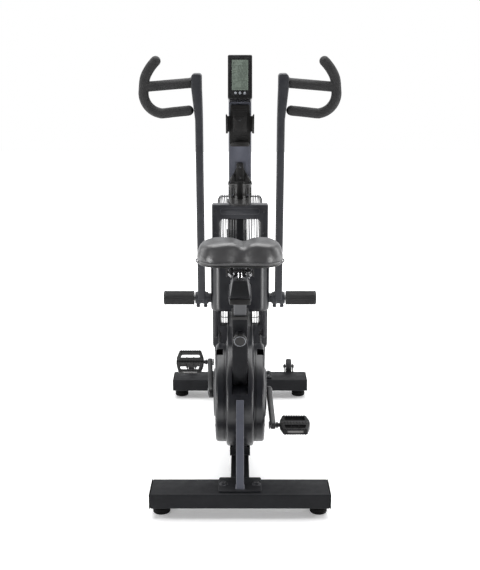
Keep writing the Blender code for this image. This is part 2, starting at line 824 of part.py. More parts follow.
def wind_guard():
    """The curved panel behind the fork, with a hole in each side for the arm's sleeve."""
    corner = 0.036
    side_points = [(GUARD_X, 0.598), (GUARD_X, 0.560)]
    bend = arc((GUARD_X - corner, GUARD_BACK + corner), corner, 0, -90, 5)
    half = side_points + bend + [(0.034, GUARD_BACK - 0.002)]
    points = half + [(0, GUARD_BACK - 0.003)] + [(-x, y) for x, y in reversed(half)]
    shape = bmesh.new()
    low = [shape.verts.new((x, ahead(y), GUARD_LOW)) for x, y in points]
    high = [shape.verts.new((x, ahead(y), GUARD_HIGH)) for x, y in points]
    for i in range(len(points) - 1):
        shape.faces.new((low[i], high[i], high[i + 1], low[i + 1]))
    mesh = bpy.data.meshes.new("wind_guard")
    shape.to_mesh(mesh)
    shape.free()
    made = link("wind_guard", mesh)
    skin = made.modifiers.new("wall", "SOLIDIFY")
    skin.thickness = 0.0025
    skin.offset = -1
    skin.use_even_offset = True
    hole_radius = SLEEVE_RADIUS + 0.0015
    for side in SIDES:
        cut(made, through("guard_hole_" + side, PIVOT, hole_radius, across(side, (0.090, 0.110))))
    return paint(made, "cover_plastic")


def cage_half(side):
    """Half of the fan cage: bent wires from a hub plate, with hoops round the rim and the side."""
    sign = SIDES[side]
    side_x = CAGE_HALF_WIDTH - CAGE_WIRE
    rim = CAGE_RADIUS - CAGE_WIRE
    bend = 0.022
    belt_angle = math.degrees(math.atan2(CRANK.z - FAN.z, CRANK.y - FAN.y))
    wires = []
    for i in range(CAGE_WIRES):
        angle = math.radians(belt_angle + 180 / CAGE_WIRES + i * 360 / CAGE_WIRES)
        route = [(side_x, 0.040), (side_x, rim - bend), (side_x - bend * 0.3, rim - bend * 0.3)]
        route += [(side_x - bend, rim), (0.0015, rim)]
        points = [(sign * x, FAN.y + r * math.cos(angle), FAN.z + r * math.sin(angle)) for x, r in route]
        wires.append(bent_tube(f"cage_wire_{side}_{i + 1}", points, CAGE_WIRE, resolution=0))
    hoops = [
        ring("cage_edge_hoop_" + side, (sign * 0.0055, FAN.y, FAN.z), (1, 0, 0), rim, CAGE_WIRE),
        ring("cage_rim_hoop_" + side, (sign * 0.0460, FAN.y, FAN.z), (1, 0, 0), rim, CAGE_WIRE),
        ring("cage_side_hoop_" + side, (sign * side_x, FAN.y, FAN.z), (1, 0, 0), 0.170, CAGE_WIRE),
    ]
    hub = through("cage_" + side, FAN, 0.052, across(side, (side_x - 0.002, side_x + 0.002)), 16)
    join_all(hub, wires + hoops, "cage_pieces_" + side)
    cut(hub, through("cage_bore_" + side, FAN, FAN_AXLE + GAP, across(side, (0.060, 0.100)), 12))
    return paint(hub, "powder_coat")


# Drive


def link_pin(side):
    """The centre of a crank web's link pin, square to the line from the crank to the arm's lever."""
    along = (LEVER_END - CRANK).normalized()
    square = Vector((0, -along.z, along.y))
    return CRANK + square * LINK_PIN_THROW * -SIDES[side]


def crank_axle():
    made = through("crank_axle", CRANK, AXLE_RADIUS, (-0.104, 0.104))
    for side in SIDES:
        pin = link_pin(side)
        join(made, link_plate("crank_web_" + side, CRANK, 0.016, pin, 0.010, across(side, WEB_X), 5))
        pin_x = (WEB_X[1] - 0.002, WEB_X[1] + 0.0012)
        join(made, through("link_pin_" + side, pin, 0.007, across(side, pin_x), 10))
    return paint(made, "steel")


def pulley(name, at, radius, bore, wall, steps):
    """A pulley on the belt's line, with a recess inside its rim."""
    low, high = PULLEY_X
    web = low + 0.005
    profile = [
        (bore, web),
        (radius - wall, web),
        (radius - wall, high),
        (radius, high),
        (radius, low),
        (bore, low),
    ]
    return paint(turned(name, profile, (0, at.y, at.z), (1, 0, 0), steps, closed=True), "steel")


def drive_belt():
    clearance = 0.0012
    thickness = 0.003
    x_range = (PULLEY_X[0] + 0.0015, PULLEY_X[1] - 0.0015)
    crank, fan = yz(CRANK), yz(FAN)
    outer = clearance + thickness
    outline = link_outline(crank, CRANK_PULLEY + outer, fan, FAN_PULLEY + outer, 12, 7)
    made = plate("drive_belt", outline, "YZ", x_range)
    inner = link_outline(crank, CRANK_PULLEY + clearance, fan, FAN_PULLEY + clearance, 12, 7)
    cut(made, plate("belt_inside", inner, "YZ", (x_range[0] - 0.005, x_range[1] + 0.005)))
    return paint(made, "rubber")


def pedal_axis(side):
    """The middle of the crank plane at the pedal's spindle. The left crank points forwards and up."""
    reach = Vector((0, math.cos(CRANK_ANGLE), math.sin(CRANK_ANGLE))) * CRANK_LENGTH
    return CRANK - reach * SIDES[side]


def crank_arm(side):
    """A crank arm that flares outwards to the pedal, with the pedal's spindle pressed into it."""
    end = pedal_axis(side)
    made = link_plate("crank_arm_" + side, CRANK, 0.020, end, 0.0135, across(side, CRANK_ARM_X), 6)
    round_edges(made, 0.003, 1)
    reach = end - CRANK
    slope = SIDES[side] * CRANK_ARM_FLARE / reach.length_squared
    flare = Matrix.Identity(4)
    flare[0][1] = slope * reach.y
    flare[0][2] = slope * reach.z
    to_crank = Matrix.Translation(Vector((0, -CRANK.y, -CRANK.z)))
    place = made.matrix_world.copy()
    made.data.transform(place.inverted() @ to_crank.inverted() @ flare @ to_crank @ place)
    join(made, through("spindle_" + side, end, SPINDLE_RADIUS, across(side, (CRANK_ARM_X[1], 0.222)), 12))
    join(made, through("spindle_collar_" + side, end, 0.010, across(side, (CRANK_ARM_X[1], 0.1245)), 12))
    cut(made, through("crank_arm_bore_" + side, CRANK, AXLE_RADIUS + GAP, across(side, (0.080, 0.1043))))
    return paint(made, "black_plastic")


def pedal(side):
    """A platform pedal with two windows, pitched about its spindle."""
    sign = SIDES[side]
    low, high = PEDAL_X
    long, half = PEDAL_LENGTH / 2, PEDAL_THICKNESS / 2
    corners = [(low, 0.013), (low + 0.010, long), (high - 0.009, long), (high, 0.013)]
    corners += [(x, -y) for x, y in reversed(corners)]
    body = plate("pedal_" + side, [(sign * x, y) for x, y in corners], "XY", (-half, half))
    shapes = [body]
    rim = long - 0.008
    window = [(low + 0.012, 0.0145), (low + 0.018, rim), (high - 0.017, rim), (high - 0.011, 0.0145)]
    for end, flip in (("front", 1), ("rear", -1)):
        outline = [(sign * x, flip * y) for x, y in window]
        shapes.append(plate(f"pedal_window_{end}_{side}", outline, "XY", (-0.030, 0.030)))
    core_ends = (sign * (low + 0.0002), 0, 0), (sign * (high - 0.0002), 0, 0)
    core = cylinder("pedal_core_" + side, *core_ends, 0.013, 12)
    bore_ends = (sign * (low - 0.0095), 0, 0), (sign * (high - 0.0033), 0, 0)
    bore = cylinder("pedal_bore_" + side, *bore_ends, SPINDLE_RADIUS + RUN, 12)
    shapes += [core, bore]
    axis = pedal_axis(side)
    place = Matrix.Translation(axis) @ rotation_about_x(PEDAL_PITCH[side])
    bpy.context.view_layer.update()
    for shape in shapes:
        shape.matrix_world = place @ shape.matrix_world
    cut(body, shapes[1], shapes[2])
    join(body, core)
    cut(body, bore)
    return paint(body, "black_plastic"), axis


def fan_wheel():
    """Flat blades welded to a hub and a middle disc."""
    middle = (FAN_X[0] + FAN_X[1]) / 2
    made = through("fan_wheel", FAN, 0.024, (FAN_X[0] + 0.004, FAN_X[1] - 0.002), 16)
    disc = through("fan_disc", FAN, 0.110, (middle - 0.002, middle + 0.002), 24)
    blades = [disc]
    for i in range(FAN_BLADES):
        blade = box(f"fan_blade_{i + 1}", (FAN_X[0], -0.0015, 0.019), (FAN_X[1], 0.0015, FAN_RADIUS))
        turn = rotation_about_x(i * 2 * math.pi / FAN_BLADES)
        shift = Vector((middle, 0, (0.019 + FAN_RADIUS) / 2))
        blade.matrix_world = Matrix.Translation(FAN) @ turn @ Matrix.Translation(shift)
        blades.append(blade)
    join_all(made, blades, "fan_blades")
    cut(made, through("fan_bore", FAN, FAN_AXLE + RUN, (-0.080, 0.060), 12))
    return paint(made, "powder_coat")


def fan_axle():
    made = through("fan_axle", FAN, FAN_AXLE, (-0.116, 0.116), 12)
    for side in SIDES:
        outer = LEG_X[1] + GAP
        join(made, through("fan_nut_" + side, FAN, 0.0125, across(side, (outer, outer + 0.007)), 6))
    return paint(made, "steel")


def con_rod(side):
    """The rod from the arm's lever towards the crank's link pin. Its big end stops beside the pin."""
    pin = link_pin(side)
    made = link_plate("con_rod_" + side, LEVER_END, ROD_RADIUS, pin, ROD_RADIUS, across(side, ROD_X), 5)
    cut(made, through("rod_small_eye_" + side, LEVER_END, 0.0065, across(side, (0.060, 0.090)), 12))
    cut(made, through("rod_big_eye_" + side, pin, 0.0080, across(side, (0.060, 0.090)), 12))
    return paint(made, "steel")


# Arms


def pivot_shaft():
    return paint(through("pivot_shaft", PIVOT, PIVOT_RADIUS, (-0.262, 0.262), 12), "steel")


def foot_peg(side):
    low, high = PEG_X
    bore = PIVOT_RADIUS + GAP
    profile = [
        (0, high),
        (PEG_RADIUS - 0.003, high),
        (PEG_RADIUS, high - 0.003),
        (PEG_RADIUS, low + 0.003),
        (PEG_RADIUS - 0.003, low),
        (bore, low),
        (bore, 0.2625),
        (0, 0.2625),
    ]
    at = (0, PIVOT.y, PIVOT.z)
    return paint(turned("foot_peg_" + side, profile, at, (SIDES[side], 0, 0), 16), "rubber")


def arm_hub(side):
    """The clamp hub on the pivot shaft, its sleeve through the wind guard and the lever inside it."""
    made = through("arm_hub_" + side, PIVOT, HUB_RADIUS, across(side, HUB_X))
    round_edges(made, 0.002, 1)
    sleeve_x = across(side, (LEVER_X[0] + 0.001, 0.115))
    join(made, through("arm_sleeve_" + side, PIVOT, SLEEVE_RADIUS, sleeve_x))
    wide, narrow = LEVER_RADII
    join(made, link_plate("lever_" + side, PIVOT, wide, LEVER_END, narrow, across(side, LEVER_X), 6))
    pin_x = across(side, (0.0672, LEVER_X[0] + 0.003))
    join(made, through("lever_pin_" + side, LEVER_END, 0.0060, pin_x, 12))
    for i, x in enumerate((0.1225, 0.1485)):
        at = Vector((SIDES[side] * x, PIVOT.y, PIVOT.z))
        down = Vector((0, 0, -1))
        stem = cylinder(f"hub_bolt_{side}_{i}", at + down * 0.030, at + down * 0.018, 0.004, 8)
        head_ends = at + down * 0.0345, at + down * 0.0285
        join(made, stem, cylinder(f"hub_bolt_head_{side}_{i}", *head_ends, 0.0068, 10))
    cut(made, through("arm_hub_bore_" + side, PIVOT, PIVOT_RADIUS + RUN, across(side, (0.060, 0.180)), 12))
    return paint(made, "powder_coat")


def arm(side):
    """The arm tube, which leans back a little and widens into the head block that holds the handle."""
    sign = SIDES[side]
    inner, outer = ARM_X
    rise = ARM_TOP - PIVOT_Z
    head = (inner + 0.003, 0.1606)
    inner_edge = [(inner, 0), (inner + 0.001, rise - 0.150), (head[0], rise - 0.050), (head[0], rise)]
    outer_edge = [(head[1], rise), (head[1], rise - 0.052), (outer + 0.001, rise - 0.150), (outer, 0)]
    corners = [(sign * x, z) for x, z in inner_edge + outer_edge]
    outline = rounded(corners, [0, 0, 0, 0.006, 0.006, 0.010, 0, 0], steps=2)
    made = plate("arm_" + side, outline, "XZ", (-ARM_DEPTH / 2, ARM_DEPTH / 2))
    low, high = inner + TUBE_WALL, outer - TUBE_WALL
    inside = [(low, -0.012), (low + 0.001, rise - 0.160), (high + 0.001, rise - 0.160), (high, -0.012)]
    reach = ARM_DEPTH / 2 - TUBE_WALL
    hollow = plate("arm_hollow_" + side, [(sign * x, z) for x, z in inside], "XZ", (-reach, reach))
    bpy.context.view_layer.update()
    for shape in (made, hollow):
        shape.matrix_world = Matrix.Translation(PIVOT) @ rotation_about_x(ARM_LEAN) @ shape.matrix_world
    round_edges(made, 0.003, 1)
    cut(made, hollow)
    cut(made, through("arm_foot_" + side, PIVOT, HUB_RADIUS + GAP, across(side, (0.100, 0.175)), 24))
    return paint(made, "powder_coat")


def handle(side):
    """The looped handle: an upper horn, a round outer bend, a lower bar, and a middle bar to the arm."""
    sign = SIDES[side]
    bend = arc((0.2555, 1.2916), 0.065, 8, -88, 7)
    outer = [(0.278, 1.397), (0.2985, 1.372), (0.3145, 1.341)] + bend + [(0.214, 1.2315), (0.168, 1.2360)]
    ends = [(0.2735, 1.4035)] + outer + [(0.160, 1.2366)]
    lean = math.tan(ARM_LEAN)

    def place(x, z):
        return Vector((sign * x, PIVOT.y - (z - PIVOT_Z) * lean, z))

    made = bent_tube("handle_" + side, [place(x, z) for x, z in ends], GRIP_RADIUS)
    bar = bent_tube("handle_bar_" + side, [place(0.1632, 1.3262), place(0.318, 1.313)], GRIP_RADIUS)
    return paint(join(made, bar), "rubber")


# Seat


def seat_tube_bushing():
    """The plastic sleeve at the top of the seat tube, with a flange over its edge."""
    half = SEAT_TUBE_SIDE / 2
    made = along_tube("seat_tube_bushing", half - TUBE_WALL - GAP, -0.045, 0.002)
    join(made, along_tube("bushing_flange", half - 0.001, GAP, 0.004))
    cut(made, along_tube("bushing_bore", SEAT_POST_SIDE / 2 + RUN, -0.080, 0.030))
    return paint(made, "black_plastic")


def seat_post():
    """The square post, hollow, with a row of height holes in its rear face."""
    half = SEAT_POST_SIDE / 2
    made = along_tube("seat_post", half, -SEAT_POST_BELOW, 0.080, bevel=0.002)
    cut(made, along_tube("seat_post_hollow", half - 0.002, -SEAT_POST_BELOW - 0.020, 0.100))
    for i in range(HEIGHT_HOLES):
        drop = PIN_DROP + HOLE_PITCH * i
        cut(made, on_pin(f"height_hole_{i + 1}", PIN_RADIUS + RUN, 0.012, 0.030, 8, drop))
    cut(made, box("seat_post_top", (-0.1, ahead(0), RAIL_LOW - GAP), (0.1, ahead(0.3), 0.8)))
    return paint(made, "black_plastic")


def height_knob():
    """The sprung pull knob and its pin, whose tip stops just short of the post."""
    tip = SEAT_POST_SIDE / 2 + RUN
    profile = [
        (0, 0.0600),
        (KNOB_RADIUS - 0.004, 0.0600),
        (KNOB_RADIUS, 0.0570),
        (KNOB_RADIUS, 0.0470),
        (0.0150, 0.0425),
        (PIN_RADIUS, 0.0425),
        (PIN_RADIUS, tip),
        (0, tip),
    ]
    made = turned("height_knob", profile, (0, 0, 0), (0, 0, 1), 20)
    made.matrix_world = pin_frame(PIN_DROP)
    return paint(made, "black_plastic")


def slider_rail():
    low = Vector((-RAIL_HALF_WIDTH, ahead(RAIL_AHEAD[0]), RAIL_LOW))
    high = Vector((RAIL_HALF_WIDTH, ahead(RAIL_AHEAD[1]), RAIL_HIGH))
    wall = Vector((TUBE_WALL, -0.010, TUBE_WALL))
    made = box("slider_rail", low, high, bevel=0.002)
    cut(made, box("slider_rail_hollow", low + wall, high - wall))
    start = Vector((0, ahead(SLIDER_PIN_AHEAD), RAIL_LOW - 0.010))
    end = Vector((0, ahead(SLIDER_PIN_AHEAD), RAIL_LOW + 0.006))
    cut(made, cylinder("slider_pin_bore", start, end, SLIDER_PIN_RADIUS + RUN, 10))
    return paint(made, "powder_coat")


def slider_end_cap():
    low = (-RAIL_HALF_WIDTH - 0.001, ahead(RAIL_AHEAD[0]) - 0.006, RAIL_LOW - 0.001)
    high = (RAIL_HALF_WIDTH + 0.001, ahead(RAIL_AHEAD[0]) - GAP, RAIL_HIGH + 0.0005)
    return paint(box("slider_end_cap", low, high, bevel=0.002), "black_plastic")


def slider_knob():
    """The pull knob under the rail that lets the carriage slide."""
    profile = [
        (0, RAIL_LOW + 0.007),
        (SLIDER_PIN_RADIUS, RAIL_LOW + 0.007),
        (SLIDER_PIN_RADIUS, RAIL_LOW - 0.006),
        (0.012, RAIL_LOW - 0.006),
        (0.016, RAIL_LOW - 0.012),
        (0.016, RAIL_LOW - 0.026),
        (0.012, RAIL_LOW - 0.030),
        (0, RAIL_LOW - 0.030),
    ]
    at = (0, ahead(SLIDER_PIN_AHEAD), 0)
    return paint(turned("slider_knob", profile, at, (0, 0, 1), 12), "black_plastic")


def frustum(name, low, high, top_low, top_high):
    """A box whose top is another rectangle, from top_low to top_high in X and Y."""
    made = box(name, low, high)
    middle = made.location
    for vertex in made.data.vertices:
        if vertex.co.z > 0:
            vertex.co.x = (top_high[0] if vertex.co.x > 0 else top_low[0]) - middle.x
            vertex.co.y = (top_high[1] if vertex.co.y > 0 else top_low[1]) - middle.y
    return made


def seat_carriage():
    """The shoe that straddles the rail, tapered up to a short stem under the clamp."""
    start, end = CARRIAGE_AHEAD
    low = Vector((-RAIL_HALF_WIDTH, ahead(start), RAIL_HIGH + RUN))
    high = Vector((RAIL_HALF_WIDTH, ahead(end), CARRIAGE_TOP))
    top_low = (-0.023, ahead(CLAMP_AHEAD) - 0.028)
    top_high = (0.023, ahead(CLAMP_AHEAD) + 0.028)
    made = frustum("seat_carriage", low, high, top_low, top_high)
    wide = RAIL_HALF_WIDTH + 0.003
    skirt_low = (-wide, ahead(start) + 0.004, RAIL_LOW + 0.006)
    skirt_high = (wide, ahead(end) - 0.004, RAIL_HIGH + 0.0035)
    skirt = box("carriage_skirt", skirt_low, skirt_high)
    inside_low = (-RAIL_HALF_WIDTH - RUN, ahead(start) - 0.020, RAIL_LOW)
    inside_high = (RAIL_HALF_WIDTH + RUN, ahead(end) + 0.020, RAIL_HIGH + RUN)
    stem_low = Vector((0, ahead(CLAMP_AHEAD), CARRIAGE_TOP - 0.004))
    stem_high = Vector((0, ahead(CLAMP_AHEAD), CLAMP_Z - 0.0165))
    join(made, skirt, cylinder("carriage_stem", stem_low, stem_high, 0.0125, 12))
    cut(made, box("carriage_inside", inside_low, inside_high))
    return paint(made, "powder_coat")


def seat_clamp():
    """The chrome clamp: a cross barrel with toothed washers and nuts, on a collar over the stem."""
    profile = [
        (0, 0.0390),
        (0.0085, 0.0390),
        (0.0085, 0.0320),
        (0.0180, 0.0310),
        (0.0180, 0.0190),
        (0.0140, 0.0180),
    ]
    profile += [(radius, -x) for radius, x in reversed(profile)]
    at = Vector((0, ahead(CLAMP_AHEAD), CLAMP_Z))
    made = turned("seat_clamp", profile, at, (1, 0, 0), 16)
    collar = cylinder("clamp_collar", (0, at.y, CLAMP_Z - 0.0162), (0, at.y, CLAMP_Z), 0.0135, 12)
    join(made, collar)
    return paint(made, "chrome")


def saddle_outline(scale):
    """Half of the saddle's outline from behind the rider to the nose, then mirrored."""
    half = [
        (0.050, 0.004),
        (0.098, 0.012),
        (0.130, 0.044),
        (0.136, 0.085),
        (0.122, 0.128),
        (0.092, 0.166),
        (0.062, 0.205),
        (0.042, 0.245),
        (0.026, 0.276),
    ]
    points = [(0, 0.010)] + half + [(0, 0.286)] + [(-x, y) for x, y in reversed(half)]
    middle = 0.130
    return [(x * scale, ahead(middle + (y - middle) * scale)) for x, y in points]


def saddle_pan():
    """The hard base under the pad, with two ears that hang on the clamp's ends."""
    made = plate("saddle_pan", saddle_outline(0.90), "XY", (PAN_LOW, PAD_LOW - GAP), smooth=True)
    at = Vector((0, ahead(CLAMP_AHEAD), CLAMP_Z))
    top = at + Vector((0, 0, 0.052))
    for side in SIDES:
        ear_x = across(side, (0.0395, 0.0435))
        join(made, link_plate("saddle_ear_" + side, at, 0.013, top, 0.020, ear_x, 5))
    cut(made, box("saddle_ear_tops", (-0.1, at.y - 0.1, PAD_LOW - GAP), (0.1, at.y + 0.1, PAD_LOW + 0.1)))
    return paint(made, "black_plastic")


def saddle_pad():
    made = plate("saddle_pad", saddle_outline(1.0), "XY", (PAD_LOW, PAD_HIGH), smooth=True)
    round_edges(made, 0.018, 2)
    return paint(made, "vinyl")


# Console, holder and bottle cage


def console_matrix():
    """The frame of the screen: origin in its middle, +Z up along it, -Y out of it to the rider."""
    middle = Vector((0, ahead(CONSOLE_AHEAD), CONSOLE_Z))
    return Matrix.Translation(middle) @ rotation_about_x(-CONSOLE_TILT)


def on_console(made):
    bpy.context.view_layer.update()
    made.matrix_world = console_matrix() @ made.matrix_world
    return made


def console_housing():
    """The tilted housing, with a wedge behind it that fits the mast's rear face."""
    half = CONSOLE_HEIGHT / 2
    face = [(0, -half), (0, half), (CONSOLE_DEPTH, half)]
    placed = [console_matrix() @ Vector((0, y, z)) for y, z in face]
    outline = [yz(point) for point in placed]
    mast_face = ahead(MAST_AHEAD[0]) - GAP
    back = console_matrix() @ Vector((0, CONSOLE_DEPTH, 0))
    meet = back.z + (mast_face - back.y) / math.tan(CONSOLE_TILT)
    outline += [(mast_face, meet), (mast_face, CONSOLE_Z - half - 0.012)]
    made = plate("console_housing", outline, "YZ", (-CONSOLE_HALF_WIDTH, CONSOLE_HALF_WIDTH))
    round_edges(made, 0.003, 2)
    low, high = LENS_SPAN
    reach = LENS_HALF_WIDTH + GAP
    recess = box("lens_recess", (-reach, -0.002, low - GAP), (reach, 0.0018, high + GAP))
    cut(made, on_console(recess))
    for name, x in BUTTONS.items():
        start, end = (x, -0.004, -BUTTON_DROP), (x, 0.005, -BUTTON_DROP)
        hole = cylinder(name + "_hole", start, end, BUTTON_RADIUS + GAP, 12)
        cut(made, on_console(hole))
    return paint(made, "black_plastic")


def display_lens():
    low, high = LENS_SPAN
    made = box("display_lens", (-LENS_HALF_WIDTH, -0.0003, low), (LENS_HALF_WIDTH, 0.0015, high))
    return paint(on_console(made), "lcd")


def console_button(name, x):
    made = cylinder(name, (x, -0.0018, -BUTTON_DROP), (x, 0.0025, -BUTTON_DROP), BUTTON_RADIUS, 12)
    return paint(on_console(made), "button_grey")


def device_holder():
    """The phone holder on the mast: back plate, bottom ledge and two side jaws."""
    back = ahead(MAST_AHEAD[0]) - GAP
    made = box("device_holder", (-0.0335, back - 0.009, 1.109), (0.0335, back, 1.250), 0.002)
    ledge = box("holder_ledge", (-0.030, back - 0.034, 1.109), (0.030, back - 0.005, 1.117))
    lip = box("holder_lip", (-0.026, back - 0.037, 1.109), (0.026, back - 0.032, 1.125))
    wings = box("holder_wings", (-0.0487, back - 0.008, 1.156), (0.0487, back - 0.003, 1.214))
    join(made, ledge, lip, wings)
    for side in SIDES:
        low, high = across(side, (0.0447, 0.0488))
        jaw = box("holder_jaw_" + side, (low, back - 0.030, 1.152), (high, back - 0.004, 1.219))
        low, high = across(side, (0.0410, 0.0488))
        lip = box("holder_jaw_lip_" + side, (low, back - 0.033, 1.152), (high, back - 0.029, 1.219))
        join(made, jaw, lip)
    return paint(made, "black_plastic")


def bottle_cage():
    """The bottle cage on the mast: a spine, a split round wall and a floor with a lip."""
    at = Vector((0, ahead(BOTTLE_AHEAD), 0))
    wall = 0.0028
    outer = BOTTLE_RADIUS + wall
    profile = [
        (outer, 0.985),
        (outer, 0.925),
        (outer - 0.004, 0.910),
        (BOTTLE_RADIUS - 0.022, 0.906),
        (BOTTLE_RADIUS - 0.022, 0.910),
        (BOTTLE_RADIUS - 0.004, 0.914),
        (BOTTLE_RADIUS, 0.927),
        (BOTTLE_RADIUS, 0.985),
    ]
    made = turned("bottle_cage", profile, at, (0, 0, 1), 20, closed=True)
    back = ahead(MAST_AHEAD[0]) - GAP
    spine = box("cage_spine", (-0.012, at.y + BOTTLE_RADIUS + 0.0005, 0.930), (0.012, back, 1.050), 0.002)
    cut(made, box("cage_split", (-0.010, at.y - outer - 0.010, 0.932), (0.010, at.y - 0.010, 1.000)))
    for side in SIDES:
        low, high = across(side, (0.016, 0.060))
        cut(made, box("cage_window_" + side, (low, at.y - 0.012, 0.935), (high, at.y + 0.012, 0.968)))
    join(made, spine)
    return paint(made, "black_plastic")


# Assembly


def build_frame():
    stabiliser("rear_stabiliser", 0)
    front = stabiliser("front_stabiliser", FRONT_STAB_AHEAD)
    wheel_brackets(front)
    main_beam()
    rear_strut()
    seat_tube()
    front_post()
    fork_frame()
    front_fork()
    mast()
    wind_guard()
    seat_tube_bushing()
    pivot_shaft()
    fan_axle()
    drive_belt()
    device_holder()
    bottle_cage()
    console_housing()
    display_lens()
    for side in SIDES:
        casing(side)
        crank_cover(side)
        cage_half(side)
        foot_peg(side)


def build_stand_movers():
    for end, start in (("rear", 0), ("front", FRONT_STAB_AHEAD)):
        for side in SIDES:
            levelling_foot(f"levelling_foot_{end}_{side}", foot_place(side, start))
    for side in SIDES:
        transport_wheel(side)


def build_crank():
    crank = joint_empty("crank_axis", CRANK)
    axle = crank_axle()
    wheel = pulley("crank_pulley", CRANK, CRANK_PULLEY, AXLE_RADIUS + GAP, 0.008, 24)
    carry(crank, axle, wheel)
    for side in SIDES:
        carry(crank, crank_arm(side))
        body, axis = pedal(side)
        pivot = joint_empty(f"pedal_{side}_axis", axis)
        carry(pivot, body)
        carry(crank, pivot)


def build_fan():
    small = pulley("fan_pulley", FAN, FAN_PULLEY, FAN_AXLE + RUN, 0.006, 14)
    carry(joint_empty("fan_axis", FAN), fan_wheel(), small)


def build_arms():
    for side in SIDES:
        pivot = joint_empty(f"arm_{side}_axis", PIVOT)
        carry(pivot, arm_hub(side), arm(side), handle(side))
        rod_axis = joint_empty(f"con_rod_{side}_axis", LEVER_END)
        carry(rod_axis, con_rod(side))
        carry(pivot, rod_axis)


def build_seat():
    post_slide = joint_empty("seat_post_slide", seat_tube_matrix().translation)
    carry(post_slide, seat_post(), slider_rail(), slider_end_cap())
    carry(joint_empty("height_knob_slide", pin_frame(PIN_DROP).translation), height_knob())
    knob_slide = joint_empty("slider_knob_slide", (0, ahead(SLIDER_PIN_AHEAD), RAIL_LOW))
    carry(knob_slide, slider_knob())
    carriage_slide = joint_empty("seat_carriage_slide", (0, ahead(CLAMP_AHEAD), RAIL_HIGH))
    carry(carriage_slide, seat_carriage(), seat_clamp())
    tilt = joint_empty("saddle_tilt", (0, ahead(CLAMP_AHEAD), CLAMP_Z))
    carry(tilt, saddle_pan(), saddle_pad())
    carry(carriage_slide, tilt)
    carry(post_slide, carriage_slide, knob_slide)


def build_buttons():
    for name, x in BUTTONS.items():
        at = console_matrix() @ Vector((x, 0, -BUTTON_DROP))
        carry(joint_empty(name + "_slide", at), console_button(name, x))


def build_air_bike():
    build_frame()
    build_stand_movers()
    build_crank()
    build_fan()
    build_arms()
    build_seat()
    build_buttons()


build_air_bike()
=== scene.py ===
"""Looks of the air bike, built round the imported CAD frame.

Metres. +Z is up, +Y points to the front of the bike (the fan) and +X to the rider's right.
"""

import json
import math

import bmesh
import bpy
from mathutils import Matrix, Vector


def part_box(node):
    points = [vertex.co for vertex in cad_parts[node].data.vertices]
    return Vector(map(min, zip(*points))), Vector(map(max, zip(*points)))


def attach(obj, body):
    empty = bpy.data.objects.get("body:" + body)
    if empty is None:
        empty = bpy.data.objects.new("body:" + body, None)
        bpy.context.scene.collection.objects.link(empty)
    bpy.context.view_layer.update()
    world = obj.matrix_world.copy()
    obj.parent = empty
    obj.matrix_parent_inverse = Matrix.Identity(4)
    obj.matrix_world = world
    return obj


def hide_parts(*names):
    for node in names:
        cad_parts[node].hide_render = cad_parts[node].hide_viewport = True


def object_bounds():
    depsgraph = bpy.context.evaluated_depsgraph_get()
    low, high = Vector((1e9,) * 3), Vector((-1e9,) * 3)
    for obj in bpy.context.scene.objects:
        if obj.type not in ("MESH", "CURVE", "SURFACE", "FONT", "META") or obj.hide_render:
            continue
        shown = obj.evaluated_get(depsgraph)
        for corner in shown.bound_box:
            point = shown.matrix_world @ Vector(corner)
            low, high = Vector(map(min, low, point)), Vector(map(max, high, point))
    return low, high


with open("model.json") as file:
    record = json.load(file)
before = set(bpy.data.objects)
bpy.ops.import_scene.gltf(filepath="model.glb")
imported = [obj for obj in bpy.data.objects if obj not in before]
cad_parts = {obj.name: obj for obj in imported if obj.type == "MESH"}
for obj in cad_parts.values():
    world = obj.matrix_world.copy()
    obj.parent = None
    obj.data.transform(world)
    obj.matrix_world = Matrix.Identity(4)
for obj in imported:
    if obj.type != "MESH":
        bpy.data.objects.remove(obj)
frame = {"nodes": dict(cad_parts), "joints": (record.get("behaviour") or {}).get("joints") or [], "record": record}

CAD_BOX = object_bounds()
SIDES = {"left": -1, "right": 1}
SLOT_OF = {row["node"]: row["material_slot"] for row in frame["record"]["subparts"]}
JOINTS = {joint["name"]: joint for joint in frame["joints"]}


def low(node):
    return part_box(node)[0]


def high(node):
    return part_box(node)[1]


def mm(*points):
    """Points in metres from millimetres."""
    return [tuple(value / 1000 for value in point) for point in points]


def joint_at(name):
    return Vector(JOINTS[name]["pos_m"])


def ahead(distance):
    """Y of a point that far ahead of the rear stabiliser's rear face."""
    return CAD_BOX[0].y + distance


MAST_GAP = 0.0003  # between the mast and what hangs on it
CRANK = joint_at("crank_spin")
FAN = joint_at("fan_spin")
PIVOT = joint_at("arm_left_swing")
LEVER_END = joint_at("con_rod_left_swing")
CLAMP = joint_at("saddle_tilt")
SEAT_TUBE_LEAN = math.radians(16.4)
STRUT_LEAN = math.radians(26.6)
ARM_LEAN = math.radians(3)
CONSOLE_TILT = math.radians(15)
PEDAL_PITCH = {"left": math.radians(38), "right": math.radians(8)}


# Shapes. Each is a new object at the origin whose mesh holds its place


def clean(shape):
    bmesh.ops.remove_doubles(shape, verts=shape.verts, dist=1e-6)
    bmesh.ops.recalc_face_normals(shape, faces=shape.faces)


def linked(name, shape):
    """A new object that takes up a bmesh."""
    mesh = bpy.data.meshes.new(name)
    shape.to_mesh(mesh)
    shape.free()
    made = bpy.data.objects.new(name, mesh)
    bpy.context.scene.collection.objects.link(made)
    return made


def add(name, shape, sharp=32):
    clean(shape)
    return shade(linked(name, shape), sharp)


def shade(made, sharp=32):
    made.data.shade_smooth()
    made.data.set_sharp_from_angle(angle=math.radians(sharp))
    return made


def bevelled(shape, edges, width, segments, clamp=False):
    bmesh.ops.bevel(
        shape, geom=edges, offset=width, segments=segments, profile=0.5, affect="EDGES", clamp_overlap=clamp
    )


